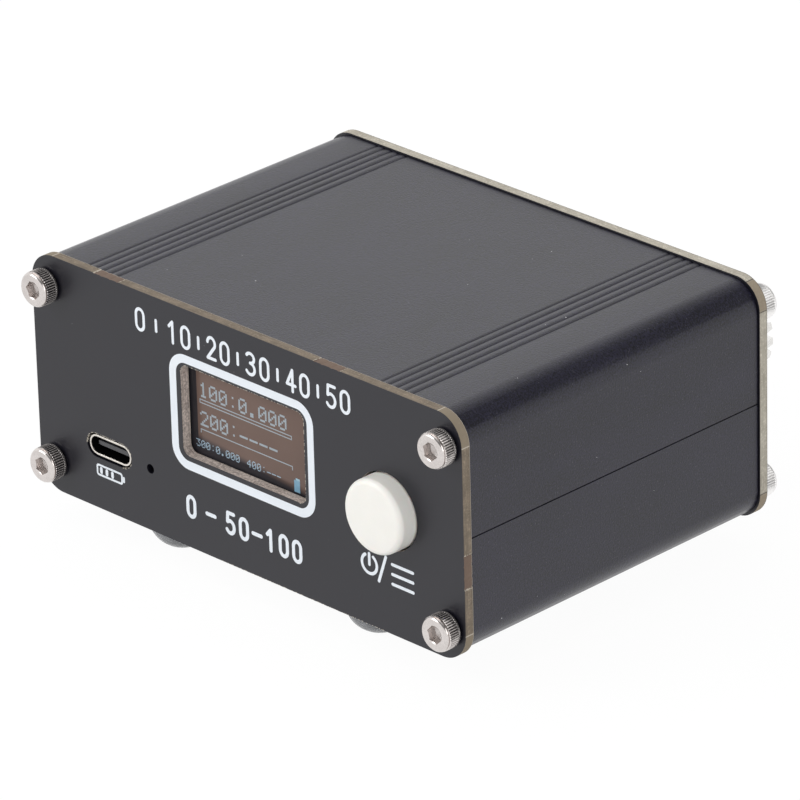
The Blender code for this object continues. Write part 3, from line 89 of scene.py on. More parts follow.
class Facing(Enum):
    """The way that a form's own +Z points once the form is in place."""

    UP = "up"
    DOWN = "down"
    FRONT = "front"
    REAR = "rear"

    def turn(self) -> Matrix:
        """The turn from the form's own axes to the frame's.

        Returns:
            A matrix that keeps +Y up on a form that faces the front or the rear.
        """
        upright = Matrix.Rotation(math.pi / 2, 4, "X")
        turns = {
            Facing.UP: Matrix.Identity(4),
            Facing.DOWN: Matrix.Rotation(math.pi, 4, "X"),
            Facing.FRONT: upright,
            Facing.REAR: Matrix.Rotation(math.pi, 4, "Z") @ upright,
        }
        return turns[self]


class Value:
    """A shader socket that adds Math nodes when it is reckoned with."""

    def __init__(self, shader: "Shader", socket: bpy.types.NodeSocket) -> None:
        """Keeps the shader and its socket."""
        self.shader = shader
        self.socket = socket

    def reckon(self, operation: str, *values: "Value | float") -> "Value":
        """Adds one Math node.

        Args:
            operation: The Math node's operation.
            values: What goes into its sockets, in order.

        Returns:
            The node's value.
        """
        inputs = dict(enumerate(values))
        return self.shader.node("ShaderNodeMath", inputs, operation=operation)["Value"]

    def __add__(self, other: "Value | float") -> "Value":
        """self + other, and other + self."""
        return self.reckon("ADD", self, other)

    __radd__ = __add__

    def __sub__(self, other: "Value | float") -> "Value":
        """self - other."""
        return self.reckon("SUBTRACT", self, other)

    def __rsub__(self, other: float) -> "Value":
        """other - self."""
        return self.reckon("SUBTRACT", other, self)

    def __mul__(self, other: "Value | float") -> "Value":
        """self * other, and other * self."""
        return self.reckon("MULTIPLY", self, other)

    __rmul__ = __mul__

    def __truediv__(self, other: "Value | float") -> "Value":
        """self / other."""
        return self.reckon("DIVIDE", self, other)

    def __abs__(self) -> "Value":
        """The value without its sign."""
        return self.reckon("ABSOLUTE", self)

    def most(self, other: "Value | float") -> "Value":
        """The larger of the two."""
        return self.reckon("MAXIMUM", self, other)

    def least(self, other: "Value | float") -> "Value":
        """The smaller of the two."""
        return self.reckon("MINIMUM", self, other)

    def root(self) -> "Value":
        """The square root."""
        return self.reckon("SQRT", self)

    def rise(self, low: float, high: float) -> "Value":
        """A smooth step.

        Args:
            low: Where it starts to leave 0.
            high: Where it reaches 1. It may be below low, for a step down.

        Returns:
            A value from 0 to 1.
        """
        inputs = {"Value": self, "From Min": min(low, high), "From Max": max(low, high)}
        if low > high:
            inputs |= {"To Min": 1.0, "To Max": 0.0}
        smooth = {"interpolation_type": "SMOOTHSTEP", "clamp": True}
        return self.shader.node("ShaderNodeMapRange", inputs, **smooth)["Result"]


class Added:
    """A node that a shader added, whose outputs are read by name or number."""

    def __init__(self, shader: "Shader", made: bpy.types.Node) -> None:
        """Keeps the shader and the node."""
        self.shader = shader
        self.made = made

    def __getitem__(self, output: str | int) -> Value:
        """The output of that name or number."""
        return Value(self.shader, self.made.outputs[output])


class Shader:
    """Builds one node tree."""

    MIX_INPUTS = (0, 6, 7)
    MIX_RESULT = 2

    def __init__(self, tree: bpy.types.NodeTree) -> None:
        """Empties the tree."""
        self.tree = tree
        tree.nodes.clear()

    def node(
        self, kind: str, inputs: Mapping[str | int, object] | None = None, **settings: object
    ) -> Added:
        """Adds a node.

        Args:
            kind: The node's type.
            inputs: A number, a colour or a link for each socket, by name or number.
            settings: The node's properties, which are set first.

        Returns:
            The node, to read its outputs from.
        """
        made = self.tree.nodes.new(kind)
        for name, setting in settings.items():
            setattr(made, name, setting)
        for name, value in (inputs or {}).items():
            if isinstance(value, Value):
                self.tree.links.new(value.socket, made.inputs[name])
            elif made.inputs[name].type == "RGBA":
                made.inputs[name].default_value = (*value, 1.0)
            else:
                made.inputs[name].default_value = value
        return Added(self, made)

    def place(self) -> Value:
        """The point on the piece, in its own axes."""
        return self.node("ShaderNodeTexCoord")["Object"]

    def axes(self) -> tuple[Value, Value, Value]:
        """The X, Y and Z of the point on the piece."""
        parts = self.node("ShaderNodeSeparateXYZ", {"Vector": self.place()})
        return parts["X"], parts["Y"], parts["Z"]

    def noise(self, size: float, detail: float = 2.0, stretch: Colour = (1.0, 1.0, 1.0)) -> Value:
        """Noise on the piece.

        Args:
            size: The width of its blobs.
            detail: How much finer noise is laid over it.
            stretch: How many times longer the blobs are along each axis.

        Returns:
            A value round 0.5.
        """
        scale = tuple(1.0 / (size * times) for times in stretch)
        point = self.node("ShaderNodeMapping", {"Vector": self.place(), "Scale": scale})["Vector"]
        return self.node("ShaderNodeTexNoise", {"Vector": point, "Scale": 1.0, "Detail": detail})[0]

    def mix(self, share: "Value | float", first: object, second: object) -> Value:
        """A blend of two colours.

        Args:
            share: 0 for the first, 1 for the second.
            first: A colour or a link.
            second: A colour or a link.

        Returns:
            The blended colour.
        """
        inputs = dict(zip(self.MIX_INPUTS, (share, first, second)))
        return self.node("ShaderNodeMix", inputs, data_type="RGBA")[self.MIX_RESULT]

    def relief(self, height: Value, depth: float) -> Value:
        """A normal that follows a height from 0 to 1, scaled to a real depth."""
        return self.node("ShaderNodeBump", {"Distance": depth, "Height": height})["Normal"]

    def surface(self, inputs: Mapping[str, object]) -> None:
        """Ends the tree in a Principled surface with these inputs."""
        made = self.node("ShaderNodeBsdfPrincipled", inputs)
        self.node("ShaderNodeOutputMaterial", {"Surface": made["BSDF"]})


@dataclass(frozen=True)
class Specks:
    """Sparse specks, of which each has its own size.

    pitch is the mean distance between the places where a speck may be, size the largest speck's
    radius, share how many of the places hold one, least the smallest speck's share of the largest,
    and core how much of a speck is full.
    """

    pitch: float
    size: float
    share: float
    least: float = 0.35
    core: float = 0.6

    def on(self, shader: Shader) -> Value:
        """Where the specks are.

        Args:
            shader: The tree to reckon in.

        Returns:
            1 on a speck and 0 elsewhere.
        """
        inputs = {"Vector": shader.place(), "Scale": 1.0 / self.pitch}
        cells = shader.node("ShaderNodeTexVoronoi", inputs)
        chance = shader.node("ShaderNodeSeparateColor", {"Color": cells["Color"]})
        held = chance["Red"].rise(self.share * 1.001, self.share)
        radius = self.size / self.pitch * (self.least + (1.0 - self.least) * chance["Green"])
        return held * (cells["Distance"] / radius).rise(1.0, self.core)


def shade(colour: Colour, times: float) -> Colour:
    """The colour made paler or darker."""
    return tuple(min(1.0, times * part) for part in colour)


@dataclass(frozen=True)
class Finish:
    """A finish, which makes its material when it is first asked for."""

    name: str
    slot: str

    def material(self) -> bpy.types.Material:
        """The finish's material.

        Returns:
            The material, made on the first call.
        """
        made = bpy.data.materials.get(self.name)
        if made is None:
            made = bpy.data.materials.new(self.name)
            made.use_nodes = True
            self.dress(Shader(made.node_tree))
        return made

    def dress(self, shader: Shader) -> None:
        """Builds the material's nodes."""
        raise NotImplementedError

    def on_nodes(self, *nodes: str) -> None:
        """Gives the finish to CAD nodes that keep their own shape.

        Args:
            nodes: The nodes' names.
        """
        for name in nodes:
            slots = frame["nodes"][name].data.materials
            slots.clear()
            slots.append(self.material())
            log.info("%s: the CAD's own shape, %s", name, self.name)


@dataclass(frozen=True)
class Anodised(Finish):
    """Bead-blasted and black anodised aluminium."""

    colour: Colour = (0.009, 0.0082, 0.019)
    shades: Point = (0.25, 1.7)
    roughness: float = 0.25
    grain_roughness: float = 0.12
    grain: float = 0.26 * MM
    grain_depth: float = 0.045 * MM
    cloud: float = 7.0 * MM
    painted_glints: Specks = Specks(0.5 * MM, 0.11 * MM, 0.6)
    painted_glint_share: float = 0.35
    painted_glint_colour: Colour = (0.13, 0.13, 0.14)
    dust: Specks = Specks(3.0 * MM, 0.13 * MM, 0.7)
    dust_colour: Colour = (0.6, 0.61, 0.62)

    def dress(self, shader: Shader) -> None:
        """Fine blasted grain with painted glints, which stand for light caught by the grain, a
        faint mottle and a few specks of dust.

        Args:
            shader: The tree to fill.
        """
        grain = shader.noise(self.grain, 3.0)
        cloud = shader.noise(self.cloud, 3.0, (1.0, 2.5, 1.0))
        blend = (0.85 * grain + 0.2 * cloud).rise(0.36, 0.68)
        colour = shader.mix(blend, *(shade(self.colour, times) for times in self.shades))
        # Painted highlight: pale specks stand for glints of light off the blasted grain.
        colour = shader.mix(self.painted_glint_share * self.painted_glints.on(shader), colour, self.painted_glint_colour)
        shader.surface({
            "Base Color": shader.mix(self.dust.on(shader), colour, self.dust_colour),
            "Roughness": self.roughness + self.grain_roughness * grain,
            "Normal": shader.relief(grain, self.grain_depth),
        })


@dataclass(frozen=True)
class Cut:
    """A rounded rectangle in X and Z, which is cut round a plate or through it."""

    x: float
    z: float
    width: float
    height: float
    radius: float
    side_fade: float = 0.3 * MM

    def outline(self, steps: int) -> "Outline":
        """Its outline, with this many chords in each corner."""
        return rounded_outline((self.x, self.z), self.width, self.height, self.radius, steps)

    def raised(self, height: float) -> "Cut":
        """The same cut, this much higher."""
        return replace(self, z=self.z + height)

    def _past_straight(self, shader: Shader) -> tuple[Value, Value]:
        """How far a point lies past the ends of the straight edges.

        Args:
            shader: The tree to reckon in.

        Returns:
            The distances across and up, which are less than 0 beside the straight edges.
        """
        x, _, z = shader.axes()
        across = abs(x - self.x) - (self.width / 2 - self.radius)
        return across, abs(z - self.z) - (self.height / 2 - self.radius)

    def beyond(self, shader: Shader) -> Value:
        """How far a point lies outside it.

        Args:
            shader: The tree to reckon in.

        Returns:
            The distance, which is less than 0 inside, down to -radius.
        """
        across, up = (past.most(0.0) for past in self._past_straight(shader))
        return (across * across + up * up).root() - self.radius

    def corner(self, shader: Shader, start: float) -> Value:
        """How far a point lies within the squares that hold the rounded corners.

        Args:
            shader: The tree to reckon in.
            start: How much narrower than its radius a corner is taken.

        Returns:
            The distance, which is less than 0 beside the straight edges.
        """
        across, up = self._past_straight(shader)
        return (across - start).least(up)

    def upper_right(self, shader: Shader) -> Value:
        """Where its top and its right side are.

        Args:
            shader: The tree to reckon in.

        Returns:
            1 along these two sides, and 0 along the other two.
        """
        x, _, z = shader.axes()
        across = x - (self.x + self.width / 2 - self.radius)
        up = z - (self.z + self.height / 2 - self.radius)
        return across.most(up).rise(-self.side_fade, 0.0)


@dataclass(frozen=True)
class Laminate(Finish):
    """A sheet of glass-fibre board: coated faces, and a bare core where it is cut.

    axis is the sheet's thin axis, and low and high are where its two faces lie along it. edge is
    the sheet's own edge, whose corners were broken round, and stubs are where the sheet was broken
    out of a larger one. The walls of the openings are painted lighter than the core, as painted
    light in their shade. cuts are openings with a frayed coat, whose fray along their top and right
    edges is a pale painted highlight, and the walls of the black cuts are painted black, as painted
    shade. Where there is a burr, the high face's coat doesn't show at the edge but a pale line.
    """

    axis: int = 1
    low: float = 0.0
    high: float = 0.0
    coat: Colour = (0.006, 0.0057, 0.0105)
    coat_depth: float = 0.045 * MM
    coat_roughness: float = 0.38
    core: Colour = (0.25, 0.2, 0.148)
    core_shade: Colour = (0.13, 0.105, 0.078)
    core_roughness: float = 0.85
    layering: Point = (0.045, 6.0)
    relief: float = 0.02 * MM
    dust: Specks = Specks(3.0 * MM, 0.13 * MM, 0.75)
    dust_share: float = 0.7
    dust_colour: Colour = (0.4, 0.4, 0.4)
    edge: Cut | None = None
    corner_start: float = 0.0
    corner_core: Colour = (0.26, 0.215, 0.155)
    edge_line_and_glint: Colour = (0.55, 0.5, 0.42)
    stubs: tuple[Cut, ...] = ()
    stub_core: Colour = (0.16, 0.105, 0.08)
    cuts: tuple[Cut, ...] = ()
    cut_core_painted_lighter: Colour = (0.78, 0.68, 0.62)
    cut_shade_painted_lighter: Colour = (0.26, 0.215, 0.19)
    painted_shade_cuts: tuple[Cut, ...] = ()
    fray_glint_width: float = 0.1 * MM
    burr: bool = False

    def dress(self, shader: Shader) -> None:
        """The coat lies within its depth of either face, and the core's layers run along the sheet.

        Args:
            shader: The tree to fill.
        """
        half = (self.high - self.low) / 2
        offset = shader.axes()[self.axis] - (self.low + self.high) / 2
        coat_ends = half - 1.2 * self.coat_depth, half - 0.8 * self.coat_depth
        coated = abs(offset).rise(*coat_ends)
        frayed = shader.noise(0.35 * MM, 3.0)
        fine = shader.noise(0.12 * MM, 2.0)
        core = self._core(shader, abs(offset).rise(0.55 * half, half), frayed)
        if self.edge:
            core = self._broken_edge(shader, self.edge, core, frayed)
        if self.burr:
            coated = (0.0 - offset).rise(*coat_ends)
            core = shader.mix(0.9 * offset.rise(*coat_ends), core, self.edge_line_and_glint)
        # Painted shade: the walls of the pinhole and the port's slot take the black coat, for the
        # shade inside them.
        for cut in self.painted_shade_cuts:
            coated = coated.most(cut.beyond(shader).rise(0.05 * MM, 0.01 * MM))
        smoother = (self.coat_roughness - self.core_roughness) * coated
        shader.surface({
            "Base Color": shader.mix(coated, core, self._coat(shader)),
            "Roughness": self.core_roughness + smoother + 0.05 * (fine - 0.5),
            "Normal": shader.relief(frayed + coated * (0.35 * fine - frayed), self.relief),
        })

    def _layers(self, shader: Shader, size: float, detail: float) -> Value:
        """Noise in thin layers along the sheet.

        Args:
            shader: The tree to reckon in.
            size: The noise's size.
            detail: How much finer noise is laid over it.

        Returns:
            A value round 0.5.
        """
        thin, long = self.layering
        stretch = tuple(thin if axis == self.axis else long for axis in range(3))
        return shader.noise(size, detail, stretch)

    def _core(self, shader: Shader, outer: Value, frayed: Value) -> Value:
        """The colour of the bare core, in layers with pale fibres.

        Args:
            shader: The tree to reckon in.
            outer: How near a point is to the sheet's faces, up to 1.
            frayed: Noise that fibres end in.

        Returns:
            The colour.
        """
        layers, cloth = self._layers(shader, 1.0 * MM, 2.0), shader.noise(2.2 * MM, 2.0)
        blend = (0.6 * layers + 0.4 * cloth).rise(0.3, 0.72)
        core = shader.mix(blend, self.core_shade, self.core)
        pale = 0.7 * (0.5 * frayed + 0.5 * layers).rise(0.5, 0.68)
        core = shader.mix(pale, core, shade(self.core, 1.55))
        return shader.mix(0.45 * outer, core, self.core_shade)

    def _broken_edge(self, shader: Shader, edge: Cut, core: Value, frayed: Value) -> Value:
        """The core's colour at the corners, at the stubs, and in the openings, whose walls are
        painted lighter as painted light in their shade.

        Args:
            shader: The tree to reckon in.
            edge: The sheet's edge.
            core: The core's colour elsewhere.
            frayed: Noise that fibres end in.

        Returns:
            The colour.
        """
        corner = edge.corner(shader, self.corner_start)
        core = shader.mix(0.8 * corner.rise(0.0, 0.3 * MM), core, self.corner_core)
        line = 0.85 * abs(corner - 0.05 * MM).rise(0.13 * MM, 0.05 * MM)
        core = shader.mix(line, core, self.edge_line_and_glint)
        # Painted light: the walls of the openings get a much paler core, for the shade that darkens
        # them; the stripes are the core's own layers.
        striped = (0.6 * self._layers(shader, 0.5 * MM, 3.0) + 0.4 * frayed).rise(0.4, 0.62)
        inner = shader.mix(striped, self.cut_shade_painted_lighter, self.cut_core_painted_lighter)
        core = shader.mix(edge.beyond(shader).rise(-1.0 * MM, -1.3 * MM), core, inner)
        for stub in self.stubs:
            beyond = stub.beyond(shader)
            core = shader.mix(0.8 * beyond.rise(0.02 * MM, -0.04 * MM), core, self.stub_core)
            crack = abs(beyond).rise(0.16 * MM, 0.05 * MM) * frayed.rise(0.38, 0.52)
            core = shader.mix(crack, core, self.edge_line_and_glint)
        return core

    def _coat(self, shader: Shader) -> Value:
        """The coat's colour, with dust, and frayed at the cuts, where the fray along the top and
        right edges is a pale painted highlight.

        Args:
            shader: The tree to reckon in.

        Returns:
            The colour.
        """
        coat = shader.mix(shader.noise(6.0 * MM), self.coat, shade(self.coat, 1.25))
        coat = shader.mix(self.dust_share * self.dust.on(shader), coat, self.dust_colour)
        fray_glint_noise = shader.noise(0.3 * MM, 2.0).rise(0.5, 0.56)
        # Painted highlight: pale fraying only along each cut's top and right edges, where the cut
        # fibres catch the light.
        for cut in self.cuts:
            near = abs(cut.beyond(shader)).rise(self.fray_glint_width, 0.6 * self.fray_glint_width)
            coat = shader.mix(near * fray_glint_noise * cut.upper_right(shader), coat, self.edge_line_and_glint)
        return coat


@dataclass(frozen=True)
class Knurling:
    """A knurled band round each of four axes along Y, which stand evenly round a middle.

    axis is how far each axis is from the middle in X and Z, and band is where the band starts and
    ends, in distances from the middle in Y. crest is the radius of the band's ridges.
    """

    middle: Place
    axis: Point
    band: Point
    crest: float
    fade: float = 0.05 * MM
    slope: Point = (0.03 * MM, 0.09 * MM)
    floor: Point = (0.4 * MM, 0.3 * MM)

    def on_band(self, shader: Shader) -> Value:
        """1 on the band and 0 elsewhere."""
        out, (low, high) = abs(shader.axes()[1] - self.middle[1]), self.band
        return out.rise(low, low + self.fade) * out.rise(high + self.fade, high)

    def groove(self, shader: Shader) -> Value:
        """How far a point lies down in a groove.

        Args:
            shader: The tree to reckon in.

        Returns:
            1 in a groove and 0 on a crest.
        """
        x, _, z = shader.axes()
        across = abs(abs(x - self.middle[0]) - self.axis[0])
        up = abs(abs(z - self.middle[2]) - self.axis[1])
        below = self.crest - (across * across + up * up).root()
        return below.rise(*self.slope) * below.rise(*self.floor)


@dataclass(frozen=True)
class Plating(Finish):
    """Plated or bare metal, whose inside is painted near black past a depth in Y, where it has one,
    as painted shade.
    """

    colour: Colour = (0.70, 0.655, 0.635)
    dull: Colour = (0.62, 0.58, 0.56)
    roughness: float = 0.2
    grain: float = 0.35 * MM
    grain_depth: float = 0.0015 * MM
    painted_shade_start: float | None = None
    painted_shade_fade: float = 0.08 * MM
    painted_shade_colour: Colour = (0.003, 0.003, 0.0035)
    painted_shade_roughness: float = 0.5
    knurling: Knurling | None = None
    groove_painted_shade: float = 0.4
    crest_bloom: float = 0.45

    def dress(self, shader: Shader) -> None:
        """Handling marks in the shine.

        Args:
            shader: The tree to fill.
        """
        grain = shader.noise(self.grain, 4.0)
        cloud = shader.noise(1.7 * MM, 3.0)
        colour = shader.mix((0.5 * grain + 0.5 * cloud).rise(0.35, 0.65), self.dull, self.colour)
        roughness = self.roughness + 0.14 * (cloud - 0.5) + 0.08 * (grain - 0.5)
        metal: Value | float = 1.0
        inputs: dict[str, object] = {}
        # Painted shade: deeper in Y than the given depth the metal is painted near black, without
        # shine, for the shade inside the port's shell.
        if self.painted_shade_start is not None:
            inputs["Specular IOR Level"] = 0.0
            inside = shader.axes()[1].rise(self.painted_shade_start, self.painted_shade_start + self.painted_shade_fade)
            colour = shader.mix(inside, colour, self.painted_shade_colour)
            metal = 1.0 - inside
            roughness = roughness + self.painted_shade_roughness * inside
        # Painted shade: the knurl's grooves are painted darker, for the shade down in them.
        if self.knurling is not None:
            on_band = self.knurling.on_band(shader)
            down = on_band * self.knurling.groove(shader)
            colour = shader.mix(down, colour, shade(self.dull, self.groove_painted_shade))
            metal = 1.0 - self.crest_bloom * (on_band - down)
        shader.surface(inputs | {
            "Base Color": colour,
            "Metallic": metal,
            "Roughness": roughness,
            "Normal": shader.relief(grain, self.grain_depth),
        })


@dataclass(frozen=True)
class Moulding(Finish):
    """Moulded plastic, insulation or a painted part."""

    colour: Colour = (0.8, 0.79, 0.76)
    roughness: float = 0.35
    mottle: float = 0.04
    grain: float = 0.2 * MM
    grain_depth: float = 0.002 * MM
    scatter: float = 0.0

    def dress(self, shader: Shader) -> None:
        """A faint mottle, and the mould's own texture in the shine.

        Args:
            shader: The tree to fill.
        """
        grain = shader.noise(self.grain)
        cloud = shader.noise(3.0 * MM)
        blend = (0.6 * cloud + 0.4 * grain).rise(0.3, 0.7)
        ends = shade(self.colour, 1.0 - self.mottle), shade(self.colour, 1.0 + self.mottle)
        shader.surface({
            "Base Color": shader.mix(blend, *ends),
            "Roughness": self.roughness + 0.1 * (cloud - 0.5) + 0.08 * (grain - 0.5),
            "Subsurface Weight": self.scatter,
            "Subsurface Scale": 1.2 * MM,
            "Normal": shader.relief(grain, self.grain_depth),
        })


@dataclass(frozen=True)
class ClearRubber(Finish):
    """Soft clear grey rubber."""

    colour: Colour = (0.42, 0.43, 0.45)
    roughness: float = 0.2
    clearness: float = 0.55

    def dress(self, shader: Shader) -> None:
        """A cloudy body with a little bloom on its skin.

        Args:
            shader: The tree to fill.
        """
        cloud = shader.noise(1.1 * MM, 3.0)
        blend = cloud.rise(0.35, 0.65)
        shader.surface({
            "Base Color": shader.mix(blend, shade(self.colour, 0.82), self.colour),
            "Roughness": self.roughness + 0.12 * cloud,
            "Transmission Weight": self.clearness,
            "IOR": 1.42,
            "Normal": shader.relief(shader.noise(0.4 * MM), 0.003 * MM),
        })


@dataclass(frozen=True)
class ScreenGlass(Finish):
    """The display's face: a brown field, which is the glass's tint with a painted reflection of the
    room, and a black border on its left and along its foot, which is a painted reflection of the
    dark window walls.

    left is the border's edge in X. The foot's edge runs through two points of X and Z.
    """

    brown_and_painted_reflection: Colour = (0.157, 0.103, 0.084)
    painted_reflection_border: Colour = (0.028, 0.026, 0.031)
    left: float = 0.0
    foot: tuple[Point, Point] = ((0.0, 0.0), (1.0, 0.0))
    left_fade: float = 0.12 * MM
    foot_fade: float = 0.7 * MM

    def dress(self, shader: Shader) -> None:
        """The border's edges follow the glass, and its shine has faint wiping marks.

        Args:
            shader: The tree to fill.
        """
        x, _, z = shader.axes()
        (x0, z0), (x1, z1) = self.foot
        above = z - z0 - (z1 - z0) / (x1 - x0) * (x - x0)
        right = x.rise(self.left, self.left + self.left_fade)
        # Painted reflection: the black border stands for the dark window walls mirrored in the
        # glass, and the brown field is the glass's tint with the room mirrored in it.
        shown = right * above.rise(-self.foot_fade, self.foot_fade)
        cloud = shader.noise(9.0 * MM)
        brown_and_painted_reflection = shader.mix(cloud.rise(0.3, 0.7), shade(self.brown_and_painted_reflection, 0.9), self.brown_and_painted_reflection)
        shader.surface({
            "Base Color": shader.mix(shown, self.painted_reflection_border, brown_and_painted_reflection),
            "Roughness": 0.07 + 0.06 * shader.noise(4.0 * MM, 3.0),
            "Specular IOR Level": 0.22,
        })


@dataclass(frozen=True)
class LitDots(Finish):
    """Lit dots of the display."""

    colour: Colour = (0.32, 0.37, 0.41)
    glow: float = 0.12

    def dress(self, shader: Shader) -> None:
        """Each dot glows a little, unevenly.

        Args:
            shader: The tree to fill.
        """
        colour = shader.mix(shader.noise(0.6 * MM, 1.0), shade(self.colour, 0.8), self.colour)
        shader.surface({
            "Base Color": colour,
            "Roughness": 0.25 + 0.1 * shader.noise(0.4 * MM, 1.0),
            "Emission Color": colour,
            "Emission Strength": self.glow,
        })


@dataclass(frozen=True)
class Ink(Finish):
    """White screen-printed ink."""

    colour: Colour = (0.80, 0.845, 0.90)

    def dress(self, shader: Shader) -> None:
        """Matt ink with a faint unevenness from the screen's mesh.

        Args:
            shader: The tree to fill.
        """
        mesh = shader.noise(0.25 * MM)
        blend = 0.5 * mesh + 0.5 * shader.noise(5.0 * MM)
        shader.surface({
            "Base Color": shader.mix(blend, shade(self.colour, 0.93), self.colour),
            "Roughness": 0.5 + 0.2 * mesh,
            "Normal": shader.relief(mesh, 0.004 * MM),
        })


@dataclass(frozen=True)
class Foil(Finish):
    """The crinkled silver pouch of a cell."""

    def dress(self, shader: Shader) -> None:
        """Broad soft crinkles.

        Args:
            shader: The tree to fill.
        """
        crinkle = shader.noise(3.5 * MM, 4.0, (1.0, 1.6, 1.0))
        shader.surface({
            "Base Color": shader.mix(crinkle, (0.42, 0.42, 0.44), (0.66, 0.66, 0.68)),
            "Metallic": 0.7,
            "Roughness": 0.3 + 0.2 * crinkle,
            "Normal": shader.relief(crinkle, 0.25 * MM),
        })


@dataclass(frozen=True)
class Box:
    """The corners of a CAD node at rest."""

    low: Vector
    high: Vector

    @classmethod
    def of(cls, node: str) -> "Box":
        """The box of the node of that name."""
        return cls(*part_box(node))

    @property
    def middle(self) -> Vector:
        """The box's middle."""
        return (self.low + self.high) / 2

    @property
    def size(self) -> Vector:
        """The box's three sides."""
        return self.high - self.low


def arc_points(
    centre: Point, radius: float, start: float, end: float, steps: int, tall: float = 1.0
) -> Outline:
    """Points along an arc.

    Args:
        centre: The arc's centre.
        radius: Its radius across.
        start: The first point's angle, in degrees.
        end: The last point's angle, in degrees.
        steps: How many chords it has.
        tall: How many times taller than wide the arc's circle is.

    Returns:
        One point more than there are steps.
    """
    angles = (math.radians(start + (end - start) * step / steps) for step in range(steps + 1))
    return [
        (centre[0] + radius * math.cos(a), centre[1] + radius * tall * math.sin(a)) for a in angles
    ]


def disc_outline(centre: Point, radius: float, steps: int) -> Outline:
    """The points of a full circle."""
    return arc_points(centre, radius, 0.0, 360.0, steps)[:-1]


def rounded_outline(
    centre: Point, width: float, height: float, corner: float, steps: int
) -> Outline:
    """A rectangle with rounded corners.

    Args:
        centre: Its middle.
        width: Its width.
        height: Its height.
        corner: The corners' radius.
        steps: How many chords each corner has.

    Returns:
        The points, anticlockwise from the middle of the right side.
    """
    across, up = width / 2 - corner, height / 2 - corner
    points: Outline = []
    for x, y, start in ((1, 1, 0.0), (-1, 1, 90.0), (-1, -1, 180.0), (1, -1, 270.0)):
        middle = (centre[0] + x * across, centre[1] + y * up)
        points += arc_points(middle, corner, start, start + 90.0, steps)
    return points


def line_outline(path: Sequence[Point], width: float, steps: int = 8) -> Outline:
    """The outline of a drawn line with round ends.

    Args:
        path: The points of its middle.
        width: The line's width.
        steps: How many chords each round end has.

    Returns:
        The outline's points, anticlockwise.
    """
    points = [Vector(point) for point in path]
    runs = [(b - a).normalized() for a, b in zip(points, points[1:])]
    ways = [runs[0], *((a + b).normalized() for a, b in zip(runs, runs[1:])), runs[-1]]
    sides = [width / 2 * Vector((-way.y, way.x)) for way in ways]
    outline: Outline = []
    for point, side in zip(points, sides):
        outline.append(tuple(point + side))
    start = math.degrees(math.atan2(ways[-1].y, ways[-1].x)) + 90.0
    outline += arc_points(tuple(points[-1]), width / 2, start, start - 180.0, steps)[1:-1]
    for point, side in zip(reversed(points), reversed(sides)):
        outline.append(tuple(point - side))
    start = math.degrees(math.atan2(ways[0].y, ways[0].x)) - 90.0
    outline += arc_points(tuple(points[0]), width / 2, start, start - 180.0, steps)[1:-1]
    return outline[::-1]


def hexagon_radius(flats: float, angle: float) -> float:
    """How far a hexagon reaches at an angle.

    Args:
        flats: The hexagon's width across its flats.
        angle: The angle from the middle of a flat.

    Returns:
        The distance from the hexagon's centre to its edge.
    """
    from_flat = (angle + math.pi / 6) % (math.pi / 3) - math.pi / 6
    return flats / 2 / math.cos(from_flat)


